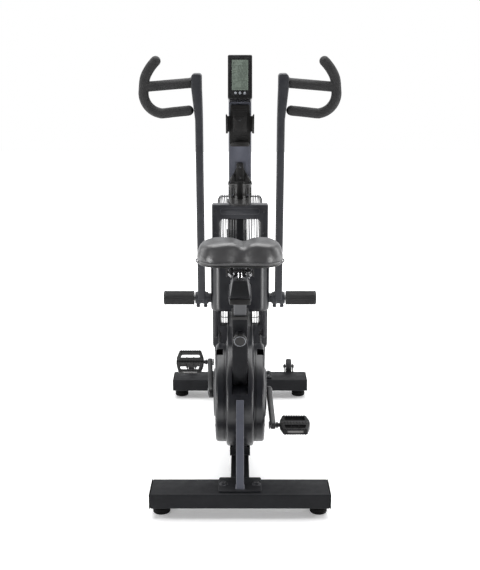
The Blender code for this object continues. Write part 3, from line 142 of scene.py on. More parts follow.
def soften(shape, width, segments=3, limit=40):
    """Rounds every edge of a bmesh that is sharper than the limit, in degrees."""
    clean(shape)
    limit = math.radians(limit)
    edges = [e for e in shape.edges if len(e.link_faces) == 2 and e.calc_face_angle(0.0) > limit]
    bevelled(shape, edges, width, segments, True)


def band(shape, one, two, closed=True):
    """The faces between two rows of points."""
    count = len(one)
    for i in range(count if closed else count - 1):
        j = (i + 1) % count
        shape.faces.new((one[i], one[j], two[j], two[i]))


AXES = {
    "X": lambda u, v, w: (w, u, v),
    "Y": lambda u, v, w: (u, w, v),
    "Z": lambda u, v, w: (u, v, w),
}


def prism(name, outline, axis, span, bevel=0.0, segments=3, place=None, sharp=32):
    """A flat outline extruded along an axis, with its edges rounded."""
    shape = bmesh.new()
    at = AXES[axis]
    ends = [[shape.verts.new(at(u, v, w)) for u, v in outline] for w in span]
    band(shape, *ends)
    for end in ends:
        shape.faces.new(end)
    if bevel:
        soften(shape, bevel, segments)
    if place:
        shape.transform(place)
    return add(name, shape, sharp)


def block(name, one, other, bevel=0.0, segments=3, place=None):
    """A box between two opposite corners."""
    (left, right), (rear, front), span = (sorted(pair) for pair in zip(one, other))
    corners = [(left, rear), (right, rear), (right, front), (left, front)]
    return prism(name, corners, "Z", span, bevel, segments, place)


def facing(direction):
    return Vector(direction).to_track_quat("Z", "Y").to_matrix().to_4x4()


def turned(name, profile, at, axis=(0, 0, 1), steps=64, closed=False, lobes=None, place=None, sharp=32):
    """A turned solid from (radius, height) points. Lobes (count, depth, first, last) scallop those points."""
    shape = bmesh.new()
    rings = []
    for k in range(steps):
        angle = 2 * math.pi * k / steps
        ring = []
        for i, (radius, height) in enumerate(profile):
            if lobes and lobes[2] <= i <= lobes[3]:
                radius += lobes[1] * (math.cos(angle * lobes[0]) - 1) / 2
            ring.append(shape.verts.new((radius * math.cos(angle), radius * math.sin(angle), height)))
        rings.append(ring)
    for k in range(steps):
        band(shape, rings[k], rings[(k + 1) % steps], closed)
    shape.transform((place or Matrix.Identity(4)) @ Matrix.Translation(Vector(at)) @ facing(axis))
    return add(name, shape, sharp)


def rod(name, start, end, radius, bevel=0.0, sides=48):
    """A round bar between two points, with its rims rounded."""
    start, end = Vector(start), Vector(end)
    length = (end - start).length
    profile = [(0, length)]
    for k in range(4):
        angle = math.radians(90 - 30 * k)
        profile.append((radius - bevel + bevel * math.cos(angle), length - bevel + bevel * math.sin(angle)))
    profile += [(r, length - h) for r, h in reversed(profile)]
    return turned(name, profile, start, end - start, sides)


def through(name, at, radius, x_range, bevel=0.0, sides=48):
    """A round bar along X at a point."""
    return rod(name, (x_range[0], at[1], at[2]), (x_range[1], at[1], at[2]), radius, bevel, sides)


def smooth_path(points, per=6, closed=False):
    """A Catmull-Rom curve through the points."""
    points = [Vector(p) for p in points]
    count = len(points)
    made = []
    for i in range(count if closed else count - 1):
        if closed:
            a, b, c, d = (points[(i + k) % count] for k in (-1, 0, 1, 2))
        else:
            a, b, c, d = (points[min(max(i + k, 0), count - 1)] for k in (-1, 0, 1, 2))
        for k in range(per):
            t = k / per
            square, cube = 2 * a - 5 * b + 4 * c - d, 3 * b - a - 3 * c + d
            made.append((2 * b + (c - a) * t + square * t**2 + cube * t**3) / 2)
    return made if closed else made + [points[-1]]


def tube(name, points, radius, sides=16, closed=False, round_ends=False, sharp=50, reach=(0.0, 0.0)):
    """A round tube along points. The radius is one number, or one for each point."""
    points = [Vector(p) for p in points]
    radii = list(radius) if isinstance(radius, (list, tuple)) else [radius] * len(points)
    if round_ends:
        points, radii = with_round_ends(points, radii, reach)
    count = len(points)
    tangents = []
    for i in range(count):
        before = points[i - 1] if closed or i else points[0]
        after = points[(i + 1) % count] if closed or i < count - 1 else points[-1]
        tangents.append((after - before).normalized())
    normal = tangents[0].orthogonal().normalized()
    shape = bmesh.new()
    rings = []
    for place, r, tangent in zip(points, radii, tangents):
        normal = (normal - tangent * normal.dot(tangent)).normalized()
        other = tangent.cross(normal)
        ring = []
        for k in range(sides):
            angle = 2 * math.pi * k / sides
            ring.append(shape.verts.new(place + (normal * math.cos(angle) + other * math.sin(angle)) * r))
        rings.append(ring)
    for i in range(count if closed else count - 1):
        one, two = rings[i], rings[(i + 1) % count]
        shift = nearest_turn(one, two, sides) if closed and i == count - 1 else 0
        band(shape, one, two[shift:] + two[:shift])
    if not closed and not round_ends:
        shape.faces.new(rings[0])
        shape.faces.new(rings[-1])
    return add(name, shape, sharp)


def nearest_turn(one, two, sides):
    return min(range(sides), key=lambda s: (one[0].co - two[s].co).length)


def with_round_ends(points, radii, reach=(0.0, 0.0)):
    """Ends a path with the rings of a half ball whose tip is that far beyond each end."""
    for further in reach:
        radius = radii[0]
        toward = (points[1] - points[0]).normalized()
        tip = points[0] - toward * further
        kept = [(p, r) for p, r in zip(points, radii) if (p - tip).length > radius * 1.05]
        caps = []
        for k in range(7):
            angle = math.radians(90 - 15 * k)
            caps.append((tip + toward * radius * (1 - math.sin(angle)), max(radius * math.cos(angle), 1e-7)))
        joined = caps + kept
        points = [p for p, _ in reversed(joined)]
        radii = [r for _, r in reversed(joined)]
    return points, radii


def hoop(name, centre, axis, radius, thickness, steps=96, sides=6):
    """A wire ring round an axis."""
    profile = []
    for k in range(sides):
        angle = 2 * math.pi * (k + 0.5) / sides
        profile.append((radius + thickness * math.cos(angle), thickness * math.sin(angle)))
    return turned(name, profile, centre, axis, steps, closed=True, sharp=80)


def applied(made):
    """A piece with its modifiers applied."""
    graph = bpy.context.evaluated_depsgraph_get()
    made.data = bpy.data.meshes.new_from_object(made.evaluated_get(graph))
    made.modifiers.clear()
    return made


def boolean(made, operation, tools):
    """Cuts tools from a piece, or joins them to it, and removes them."""
    for tool in tools:
        modifier = made.modifiers.new("boolean", "BOOLEAN")
        modifier.operation = operation
        modifier.object = tool
        modifier.solver = "EXACT"
    applied(made)
    for tool in tools:
        bpy.data.objects.remove(tool)
    return shade(made)


def cut(made, *tools):
    return boolean(made, "DIFFERENCE", tools)


def union(made, *tools):
    return boolean(made, "UNION", tools)


def merged(name, parts, sharp=32):
    """Several shapes as one piece."""
    shape = bmesh.new()
    for part in parts:
        shape.from_mesh(part.data)
        bpy.data.objects.remove(part)
    return add(name, shape, sharp)


def solidified(made, thickness):
    """Gives an open sheet its wall, on the side away from its normals."""
    skin = made.modifiers.new("wall", "SOLIDIFY")
    skin.thickness = thickness
    skin.offset = -1
    skin.use_even_offset = True
    return shade(applied(made))


# Outlines


def beside(point, x):
    """A point moved across the bike to x."""
    return Vector((x, point.y, point.z))


def arc(centre, radius, start, end, steps):
    angles = [math.radians(start + (end - start) * i / steps) for i in range(steps + 1)]
    return [(centre[0] + radius * math.cos(a), centre[1] + radius * math.sin(a)) for a in angles]


def rounded(corners, radius, steps=8):
    """An outline whose corners are rounded, each by its own radius where a list is given."""
    radii = radius if isinstance(radius, (list, tuple)) else [radius] * len(corners)
    outline = []
    for i, corner in enumerate(corners):
        here = Vector(corner)
        if not radii[i]:
            outline.append(tuple(here))
            continue
        before = (Vector(corners[i - 1]) - here).normalized()
        after = (Vector(corners[(i + 1) % len(corners)]) - here).normalized()
        half = before.angle(after) / 2
        centre = here + (before + after).normalized() * radii[i] / math.sin(half)
        start = here + before * radii[i] / math.tan(half) - centre
        end = here + after * radii[i] / math.tan(half) - centre
        for k in range(steps + 1):
            outline.append(tuple(centre + start.lerp(end, k / steps).normalized() * radii[i]))
    return outline


def panel(half, bottom, top, radius, steps, half_top=None):
    """A rectangle about the bike's middle with rounded corners, tapered to half_top where that is given."""
    upper = half_top or half
    return rounded([(-half, bottom), (half, bottom), (upper, top), (-upper, top)], radius, steps)


def link_outline(first, first_radius, second, second_radius, steps=24):
    """The outline of a link or a belt round two circles."""
    first, second = Vector(first), Vector(second)
    along = math.degrees(math.atan2(second.y - first.y, second.x - first.x))
    beta = math.degrees(math.acos((first_radius - second_radius) / (second - first).length))
    back = arc(first, first_radius, along + beta, along + 360 - beta, steps)
    return back + arc(second, second_radius, along - beta, along + beta, steps)


def yz(point):
    return (point[1], point[2])


def across(side, x_range):
    return tuple(sorted(SIDES[side] * x for x in x_range))


def link_plate(name, first, first_radius, second, second_radius, x_range, bevel=0.002, place=None):
    outline = link_outline(yz(first), first_radius, yz(second), second_radius)
    return prism(name, outline, "X", x_range, bevel, 3, place)


# Fasteners and welds


def hex_bolt(name, at, axis, width, height, washer=True):
    """A hexagon head with a chamfered top, on a washer."""
    radius = width / math.sqrt(3)
    profile = [(0, height), (radius * 0.8, height), (radius, height * 0.8), (radius, 0), (0, 0)]
    head = turned(name + "_head", profile, at, axis, 6, sharp=20)
    if not washer:
        return head
    out = Vector(axis).normalized()
    start, end = Vector(at) - out * 0.0002, Vector(at) + out * 0.0014
    ring = rod(name + "_washer", start, end, radius * 1.45, 0.0004, 32)
    return merged(name, [head, ring], 20)


def pan_screw(name, at, axis, radius, height):
    """A domed screw head with a hexagon socket."""
    profile = [(radius * 0.42, height * 0.35), (radius * 0.46, height)]
    for k in range(1, 6):
        angle = math.radians(90 - 18 * k)
        profile.append((radius * (0.5 + 0.5 * math.cos(angle)), height * math.sin(angle) * 0.97))
    profile += [(radius, -height * 0.3), (0, -height * 0.3), (0, height * 0.35)]
    return turned(name, profile, at, axis, 24, closed=True)


def weld(name, points, radius=0.002, closed=False):
    """A bead of weld metal along points, with the ripple of its passes."""
    path = []
    points = [Vector(p) for p in points]
    pairs = list(zip(points, points[1:] + points[:1])) if closed else list(zip(points, points[1:]))
    for start, end in pairs:
        count = max(2, round((end - start).length / 0.0016))
        path += [start.lerp(end, k / count) for k in range(count)]
    if not closed:
        path.append(points[-1])
    radii = [radius * (1 + 0.16 * math.sin(i * 2.1)) for i in range(len(path))]
    return tube(name, path, radii, 8, closed)


# Materials


def fill(tree, node, values, feeds):
    """Sets a node's inputs by value, or links other nodes' outputs to them."""
    for key, value in values.items():
        node.inputs[key].default_value = value
    for key, output in feeds.items():
        tree.links.new(output, node.inputs[key])


def node_of(tree, kind, values={}, feeds={}, **settings):
    node = tree.nodes.new("ShaderNode" + kind)
    for key, value in settings.items():
        setattr(node, key, value)
    fill(tree, node, values, feeds)
    return node


def mixed(tree, values, feeds):
    """Two colours mixed."""
    return node_of(tree, "Mix", values, feeds, data_type="RGBA").outputs["Result"]


def mapped(tree, source, low_value, high_value, start=0.3, end=0.7):
    """A factor stretched between two values."""
    values = {"From Min": start, "From Max": end, "To Min": low_value, "To Max": high_value}
    return node_of(tree, "MapRange", values, {"Value": source}).outputs["Result"]


def noise(tree, coordinates, scale, detail=3.0, kind="TexNoise", output="Fac"):
    node = node_of(tree, kind, {"Scale": scale}, {"Vector": coordinates})
    if "Detail" in node.inputs:
        node.inputs["Detail"].default_value = detail
    return node.outputs[output]


def surface(
    name, colour, roughness, metallic=0.0, specular=0.5, coat=0.0, coat_roughness=0.15, mottle=0.15,
    mottle_scale=11.0, smudge=0.08, grain=1400.0, grain_depth=0.00004, grain_strength=0.5, cells=False,
    sheen=0.0, wear=0.0, wear_colour=(0.16, 0.165, 0.18), stretch=None,
):
    """A procedural material: mottled colour, smudged roughness, a fine surface grain, and edges lightened partly
    as worn paint and partly as a painted highlight of the light that edges catch.
    """
    made = bpy.data.materials.new(name)
    made.use_nodes = True
    tree = made.node_tree
    at = node_of(tree, "TexCoord").outputs["Object"]
    if stretch:
        at = node_of(tree, "Mapping", {"Scale": stretch}, {"Vector": at}).outputs["Vector"]
    patches = mapped(tree, noise(tree, at, mottle_scale, 5.0), 0, 1)
    tints = {key: (*[c * share for c in colour], 1) for key, share in (("A", 1 - mottle), ("B", 1 + mottle))}
    paint = mixed(tree, tints, {"Factor": patches})
    # Edge lightening from the Bevel node: partly worn paint, partly a painted highlight where rounded edges catch
    # the light.
    if wear:
        edge = node_of(tree, "Bevel", {"Radius": 0.0022}, samples=4).outputs["Normal"]
        face = node_of(tree, "NewGeometry").outputs["True Normal"]
        dot = node_of(tree, "VectorMath", {}, {0: edge, 1: face}, operation="DOT_PRODUCT")
        worn_and_lit_edges = mapped(tree, dot.outputs["Value"], wear, 0.0, 0.88, 0.99)
        paint = mixed(tree, {"B": (*wear_colour, 1)}, {"Factor": worn_and_lit_edges, "A": paint})
    marks = noise(tree, at, 38.0, 4.0)
    shine = mapped(tree, marks, max(roughness - smudge, 0.02), min(roughness + smudge, 1.0))
    pores = noise(tree, at, grain, 3.0, "TexVoronoi", "Distance") if cells else noise(tree, at, grain, 2.0)
    depth = {"Strength": grain_strength, "Distance": grain_depth}
    bump = node_of(tree, "Bump", depth, {"Height": pores}).outputs["Normal"]
    values = {"Metallic": metallic, "Specular IOR Level": specular, "Coat Weight": coat}
    values |= {"Coat Roughness": coat_roughness, "Sheen Weight": sheen, "Sheen Roughness": 0.45}
    feeds = {"Base Color": paint, "Roughness": shine, "Normal": bump}
    fill(tree, tree.nodes["Principled BSDF"], values, feeds)
    return made


FINISHES = {}


def finish(name, *look, **more):
    FINISHES[name] = surface(name, *look, **more)


# The wear amount and colour given below lighten edges, partly as worn paint and partly as a painted highlight.
finish(
    "frame_coat", (0.0078, 0.0081, 0.0094), 0.44, specular=0.12, mottle=0.2, grain=1100,
    grain_depth=0.00008, wear=0.5, wear_colour=(0.075, 0.078, 0.085),
)
finish(
    "mast_coat", (0.098, 0.103, 0.128), 0.42, specular=0.42, mottle=0.14, grain=1300, grain_depth=0.00006,
    wear=0.5, wear_colour=(0.13, 0.135, 0.155),
)
finish(
    "casing_plastic", (0.0042, 0.0046, 0.0068), 0.34, specular=0.62, mottle=0.12, smudge=0.035, grain=2100,
    grain_depth=0.000012, grain_strength=0.2,
)
finish("cage_coat", (0.014, 0.014, 0.015), 0.3, coat=0.3, grain=900, grain_depth=0.00003)
finish("fan_coat", (0.01, 0.01, 0.011), 0.45, specular=0.35, grain=1000, wear=0.3)
finish(
    "bright_steel", (0.5, 0.5, 0.51), 0.28, metallic=1.0, mottle=0.12, smudge=0.1, grain=420,
    grain_depth=0.00002, stretch=(0.12, 1.0, 1.0),
)
finish("belt_rubber", (0.01, 0.01, 0.01), 0.72, specular=0.22, grain=1500)
finish("foot_rubber", (0.004, 0.004, 0.004), 0.66, specular=0.1, grain=1000, grain_depth=0.0001)
finish("wheel_rubber", (0.012, 0.012, 0.013), 0.58, specular=0.4, grain=800, grain_depth=0.00008)
finish(
    "grip_rubber", (0.0185, 0.0183, 0.0188), 0.68, specular=0.28, mottle=0.16, mottle_scale=26, smudge=0.06,
    grain=1500, grain_depth=0.00016, grain_strength=0.55, cells=True, sheen=0.06,
)
finish("peg_rubber", (0.018, 0.018, 0.0186), 0.6, specular=0.32, mottle=0.18, grain=1200, grain_depth=0.0001)
finish(
    "arm_coat", (0.025, 0.0258, 0.03), 0.42, specular=0.34, mottle=0.16, grain=1200, grain_depth=0.00006,
    wear=0.5, wear_colour=(0.085, 0.088, 0.1),
)
finish("crank_coat", (0.01, 0.01, 0.011), 0.36, specular=0.42, grain=900, wear=0.5)
finish(
    "pedal_plastic", (0.0042, 0.0042, 0.0046), 0.4, specular=0.2, mottle=0.22, grain=1000,
    grain_depth=0.00008,
)
finish(
    "moulded_plastic", (0.0125, 0.012, 0.012), 0.4, specular=0.36, mottle=0.16, grain=1300,
    grain_depth=0.00006,
)
finish(
    "post_coat", (0.05, 0.051, 0.055), 0.34, specular=0.45, mottle=0.14, grain=1200, grain_depth=0.00004,
    wear=0.8, wear_colour=(0.13, 0.133, 0.145),
)
finish(
    "clamp_chrome", (0.46, 0.46, 0.47), 0.2, metallic=1.0, mottle=0.07, smudge=0.07, grain=700,
    grain_depth=0.00001,
)
finish(
    "saddle_vinyl", (0.04, 0.0394, 0.0408), 0.34, specular=0.72, mottle=0.1, mottle_scale=8, smudge=0.05,
    grain=950, grain_depth=0.00022, grain_strength=0.32, cells=True, sheen=0.05,
)
finish(
    "console_plastic", (0.009, 0.009, 0.0095), 0.3, specular=0.5, mottle=0.12, grain=1600,
    grain_depth=0.00003,
)
finish(
    "display_lens", (0.125, 0.151, 0.128), 0.22, specular=0.5, coat=0.5, coat_roughness=0.08, mottle=0.07,
    mottle_scale=30, smudge=0.04, grain=500, grain_depth=0.00001, grain_strength=0.1,
)
finish("button_plastic", (0.21, 0.22, 0.24), 0.4, mottle=0.08, grain=1400, grain_depth=0.00004)
finish("fork_coat", (0.034, 0.035, 0.04), 0.4, specular=0.4, mottle=0.16, grain=1200, wear=0.5)
finish("strut_coat", (0.056, 0.059, 0.075), 0.42, specular=0.4, mottle=0.14, grain=1300, wear=0.5)
finish("lcd_ink", (0.06, 0.075, 0.062), 0.35, coat=0.4, mottle=0.08, grain=900, grain_depth=0.00001)
finish(
    "reflector_plastic", (0.06, 0.058, 0.055), 0.16, coat=0.8, coat_roughness=0.05, mottle=0.15, grain=260,
    grain_depth=0.0005, grain_strength=0.7, cells=True,
)


def dress(made, body, slot, *nodes, look=None):
    """Gives a piece its finish and its body, and says which CAD nodes it stands for."""
    made.data.materials.clear()
    made.data.materials.append(FINISHES[look or slot])
    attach(made, body)
    if nodes:
        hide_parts(*nodes)
    return made


def screws(name, seats, out, radius, height, body="frame", slot="crank_coat"):
    """Domed screws as one piece."""
    dress(merged(name, [pan_screw("screw", at, out, radius, height) for at in seats]), body, slot)


# Stand


def stabiliser(node):
    """The box-section foot tube, with a moulded cap in each end."""
    lowest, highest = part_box(node)
    if node == "front_stabiliser":
        lowest = Vector((-0.285, ahead(1.036), low("rear_stabiliser").z))
        highest = Vector((0.285, ahead(1.146), high("rear_stabiliser").z))
    cap, inset = 0.004, Vector((0, 0.0004, 0.0004))
    room = Vector((cap - 0.0005, 0, 0))
    parts = [block("tube", lowest + room, highest - room, 0.0042, 4)]
    if node == "front_stabiliser":
        parts += wheel_brackets(highest)
    dress(merged(node + "_tube", parts), "frame", "frame_coat", node)
    for side, sign in SIDES.items():
        inner = beside(lowest + inset, sign * (highest.x - cap))
        outer = beside(highest - inset, sign * highest.x)
        dress(block(f"{node}_cap_{side}", inner, outer, 0.0018, 3), "frame", "foot_rubber")


def wheel_place(side):
    return joint_at(f"transport_wheel_{side}_spin")


def wheel_brackets(highest):
    parts = []
    for side in SIDES:
        at = wheel_place(side)
        root = Vector((at.x, highest.y - 0.002, highest.z - 0.02))
        for offset in (-0.017, 0.017):
            span = (at.x + offset - 0.002, at.x + offset + 0.002)
            parts.append(link_plate("fin", root, 0.014, at, 0.011, span, 0.0007))
        parts.append(through("wheel_axle", at, 0.0048, (at.x - 0.0195, at.x + 0.0195), 0.0005, 24))
        for sign in (-1, 1):
            seat = beside(at, at.x + sign * 0.019)
            parts.append(hex_bolt("wheel_nut", seat, (sign, 0, 0), 0.013, 0.0045, washer=False))
    return parts


def levelling_foot(name):
    at = joint_at(name + "_turn")
    top = low("rear_stabiliser").z - 0.0003
    radius = 0.0275
    profile = [(0, 0.054), (0.0052, 0.054), (0.0052, top + 0.0006)]
    profile += [(0.0105, top), (0.019, top - 0.003), (0.0225, top - 0.0075)]
    profile += arc((radius - 0.004, 0.0145), 0.004, 80, 0, 6)
    profile += [(radius, 0.0125), (radius - 0.0007, 0.0118), (radius - 0.0007, 0.0106), (radius, 0.0099)]
    profile += arc((radius - 0.003, 0.0035), 0.003, 0, -80, 5) + [(radius - 0.006, 0.0003), (0, 0.0003)]
    pad = turned(name + "_pad", profile, at, (0, 0, 1), 64)
    dress(pad, name, "foot_rubber", name)


def transport_wheel(side):
    """A moulded tyre with a groove round its tread and a spoked hub face."""
    name = "transport_wheel_" + side
    at = wheel_place(side)
    half, radius = 0.0118, 0.033
    outer = [(0.0055, half - 0.0008), (0.0115, half - 0.0008), (0.0125, half - 0.003)]
    outer += [(0.02, half - 0.003), (0.0212, half - 0.0006), (radius - 0.006, half)]
    outer += [(radius - 0.0032, half - 0.0008), (radius - 0.0008, half - 0.0032), (radius, 0.0052)]
    outer += [(radius, 0.0016), (radius - 0.0014, 0.0008)]
    profile = outer + [(r, -h) for r, h in reversed(outer)]
    dress(turned(name + "_tyre", profile, at, (1, 0, 0), 72, closed=True), name, "wheel_rubber", name)
    spokes = []
    for k in range(6):
        turn = Matrix.Translation(at) @ Matrix.Rotation(k * math.pi / 3, 4, "X")
        reach = half - 0.0013
        spokes.append(block("spoke", (-reach, -0.0016, 0.0118), (reach, 0.0016, 0.0206), 0.0006, 2, turn))
    dress(merged(name + "_spokes", spokes), name, "moulded_plastic")


# Frame


def seat_tube_frame():
    top = Vector((0, ahead(0.157), 0.628))
    return Matrix.Translation(top) @ Matrix.Rotation(SEAT_TUBE_LEAN, 4, "X")


def along_tube(name, half, start, end, bevel=0.0, segments=4):
    return block(name, (-half, -half, start), (half, half, end), bevel, segments, seat_tube_frame())


def main_beam():
    """The low beam with the lug under the seat tube, welded along the lug's rear and front edges and across the
    beam's end.
    """
    lowest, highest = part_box("main_beam")
    lug_low, lug_high = Vector((-0.0345, ahead(0.28), 0.088)), Vector((0.0345, ahead(0.365), 0.119))
    beam = block("main_beam_tube", (-0.03, lowest.y, lowest.z), (0.03, highest.y, 0.09), 0.0035, 4)
    lug = block("lug", lug_low, lug_high, 0.003, 3)
    post = block("post", (-0.018, ahead(0.339), 0.115), (0.018, ahead(0.362), CRANK.z - 0.008), 0.002, 2)
    shell = through("shell", CRANK, 0.021, (-0.022, 0.022), 0.001)
    bore = through("bore", CRANK, 0.0106, (-0.04, 0.04))
    shell = cut(shell, bore)
    parts = [beam, lug, post, shell]
    rim = [(-0.0345, lug_low.y), (0.0345, lug_low.y), (0.0345, lug_high.y), (-0.0345, lug_high.y)]
    parts.append(weld("lug_weld", [(x, y, 0.0902) for x, y in rim[:2]]))
    parts.append(weld("lug_weld", [(x, y, 0.0902) for x, y in rim[2:]]))
    parts.append(weld("end_weld", [(-0.028, highest.y, 0.0905), (0.028, highest.y, 0.0905)], 0.0016))
    dress(merged("main_beam_tube", parts), "frame", "frame_coat", "main_beam")


def strut_frame():
    """Origin at the strut's foot, +Z up along it."""
    return Matrix.Translation(Vector((0, ahead(0.043), 0.09))) @ Matrix.Rotation(-STRUT_LEAN, 4, "X")


def rear_strut():
    """The mounting plate with its two bolts, and the brace from it to the seat tube."""
    lowest, top, foot = low("rear_strut"), 0.0903, strut_frame()
    outline = panel(0.0675, lowest.y, ahead(0.112), 0.006, 6)
    dress(prism("rear_strut_plate", outline, "Z", (lowest.z, top), 0.0012, 3), "frame", "frame_coat")
    bar = block("bar", (-0.0125, -0.015, -0.012), (0.0125, 0.015, 0.273), 0.0024, 4, foot)
    cut(bar, block("floor_room", (-0.1, ahead(0), 0), (0.1, ahead(0.3), lowest.z + 0.001)))
    corners = [foot @ Vector((x, y, 0)) for x, y in panel(0.013, -0.0155, 0.0155, 0, 1)]
    for corner in corners:
        corner.z = top
    bead = weld("strut_weld", corners, 0.0018, closed=True)
    dress(merged("rear_strut_bar", [bar, bead]), "frame", "mast_coat", "rear_strut", look="strut_coat")
    bolts = []
    for sign in SIDES.values():
        bolts.append(hex_bolt("plate_bolt", (sign * 0.052, ahead(0.062), top), (0, 0, 1), 0.0165, 0.0085))
    dress(merged("rear_plate_bolts", bolts, 20), "frame", "crank_coat")


def seat_tube():
    """The angled tube that the seat post slides in, with the pull pin's boss."""
    tube_piece = along_tube("seat_tube_body", 0.025, -0.56, 0.0, 0.0042, 4)
    cut(
        tube_piece,
        along_tube("bore", 0.0222, -0.6, 0.02, 0.002, 2),
        block("floor_room", (-0.1, ahead(0.2), 0), (0.1, ahead(0.4), 0.119)),
    )
    pin = pin_frame()
    boss_profile = mm((6, 24.5), (6, 41.9), (15, 41.9), (16.3, 40.6), (16.3, 36), (14.8, 35), (14.8, 33.5))
    boss_profile += mm((16.3, 32.5), (16.3, 27), (17.2, 24.8))
    boss = turned("boss", boss_profile, (0, 0, 0), (0, 0, 1), 48, closed=True, place=pin)
    dress(merged("seat_tube_body", [tube_piece, boss]), "frame", "frame_coat", "seat_tube")
    flange = along_tube("seat_tube_collar", 0.0262, -0.0085, 0.0044, 0.0016, 3)
    cut(flange, along_tube("bore", 0.0206, -0.04, 0.02))
    dress(flange, "frame", "moulded_plastic", "seat_tube_bushing")


def pin_frame():
    """Origin on the seat tube's axis at the pull pin, +Z out through the tube's rear face."""
    return seat_tube_frame() @ Matrix.Translation(Vector((0, 0, -0.066))) @ facing((0, -1, 0))


def fork_outline():
    outer, inner, end = 0.1, 0.073, 0.0463
    base, top, foot, bar = low("fork_frame").z, high("fork_frame").z, 0.455, 0.852
    half = [(inner, bar), (inner, foot), (end, foot), (end, base), (outer, base), (outer, top)]
    radii = [0.018, 0.008, 0, 0, 0.022, 0.005]
    corners = half + [(-x, z) for x, z in reversed(half)]
    return rounded(corners, radii + radii[::-1], steps=8)


def fork_frame():
    """The pressed frame round the fan's rear, with the shaft lugs, a rib in its bar and its screws."""
    rear, front = low("front_post").y - 0.008, high("fork_frame").y
    parts = [prism("fork", fork_outline(), "Y", (rear, front), 0.0022, 3)]
    for side in SIDES:
        root = Vector((0, rear + 0.022, PIVOT.z))
        lug = link_plate("lug", PIVOT, 0.0198, root, 0.0198, across(side, (0.0602, 0.0733)), 0.001)
        parts.append(cut(lug, through("bore", PIVOT, 0.0095, across(side, (0.05, 0.08)))))
    rib = panel(0.07, 0.868, 0.888, 0.008, 6)
    parts.append(prism("rib", rib, "Y", (rear - 0.0012, rear + 0.004), 0.001, 2))
    dress(merged("fork_frame_body", parts), "frame", "frame_coat", "fork_frame", look="fork_coat")
    seats = [(sign * 0.0865, rear, z) for sign in SIDES.values() for z in (0.878, 0.8, 0.74)]
    screws("fork_frame_screws", seats, (0, -1, 0), 0.0045, 0.0022)


def front_fork():
    """Two legs up to the fan axle, on a base plate with four bolts."""
    lowest = Vector((0, ahead(1.048), low("front_fork").z))
    top = 0.091
    outline = panel(0.135, lowest.y, lowest.y + 0.086, 0.008, 6)
    parts = [prism("base", outline, "Z", (lowest.z, top), 0.0012, 3)]
    foot = Vector((0, lowest.y + 0.043, lowest.z + 0.0237))
    for side in SIDES:
        leg = link_plate("leg", foot, 0.0213, FAN, 0.0258, across(side, (0.0923, 0.1058)), 0.0028)
        cut(leg, block("floor_room", (-0.2, 0, 0), (0.2, 1, lowest.z + 0.001)))
        parts.append(cut(leg, through("bore", FAN, 0.0083, across(side, (0.08, 0.12)))))
        for x in (0.0918, 0.1064):
            ends = [(SIDES[side] * x, foot.y - 0.021, top), (SIDES[side] * x, foot.y + 0.021, top)]
            parts.append(weld("leg_weld", ends, 0.0018))
    dress(merged("front_fork_legs", parts), "frame", "frame_coat", "front_fork")
    bolts = []
    for sign in SIDES.values():
        for y in (lowest.y + 0.016, lowest.y + 0.07):
            bolts.append(hex_bolt("fork_bolt", (sign * 0.122, y, top), (0, 0, 1), 0.013, 0.0065))
    dress(merged("front_fork_bolts", bolts, 20), "frame", "crank_coat")


def mast():
    lowest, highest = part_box("mast")
    foot, split = lowest.z, highest.z - 0.003
    outline = panel(0.0395, lowest.y, highest.y, 0.0055, 8)
    column = prism("column", outline, "Z", (foot, split), 0.0)
    cap_outline = panel(0.0393, lowest.y + 0.0002, highest.y - 0.0002, 0.0055, 8)
    cap = prism("mast_cap", cap_outline, "Z", (split, highest.z), 0.0012, 3)
    seam = [(x, lowest.y + 0.0002, foot + 0.0008) for x in (-0.0385, 0.0385)]
    dress(merged("mast_column", [column, weld("mast_weld", seam, 0.0014)]), "frame", "mast_coat", "mast")
    dress(cap, "frame", "moulded_plastic")


def front_post():
    post = block("front_post_tube", *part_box("front_post"), 0.0022, 3)
    dress(post, "frame", "frame_coat", "front_post")


# Covers


def casing_outline():
    radius, front = 0.18, 0.662
    nose_low = Vector((ahead(front), 0.335))
    to_nose = nose_low - Vector(yz(CRANK))
    tangent = math.atan2(to_nose.y, to_nose.x) - math.acos(radius / to_nose.length)
    outline = arc(yz(CRANK), radius, 90, math.degrees(tangent) + 360, 72)
    rising = [(front, 0.6), (0.6, 0.568), (0.5, 0.488), (0.44, 0.48)]
    corners = [tuple(nose_low)] + [(ahead(y), z) for y, z in rising]
    return rounded(outline + corners, [0] * len(outline) + [0.01, 0.014, 0.06, 0.05, 0.0], 8)


def dish(name, outline, x_edge, x_face, wall, bevel, segments=5):
    """A half-shell: a flat side at x_face, a rim back to x_edge where it stays open, and a round shoulder."""
    shape = bmesh.new()
    edge, face = [[shape.verts.new((x, y, z)) for y, z in outline] for x in (x_edge, x_face)]
    band(shape, edge, face)
    side_face = shape.faces.new(face)
    bmesh.ops.recalc_face_normals(shape, faces=shape.faces)
    if side_face.normal.x * (x_face - x_edge) < 0:
        bmesh.ops.reverse_faces(shape, faces=shape.faces)
    bevelled(shape, list(side_face.edges), bevel, segments)
    return solidified(linked(name, shape), wall)


def strut_room(slack):
    half, depth = 0.0125 + slack, 0.015 + slack
    return block("strut_room", (-half, -depth, -0.012), (half, depth, 0.262), 0, 1, strut_frame())


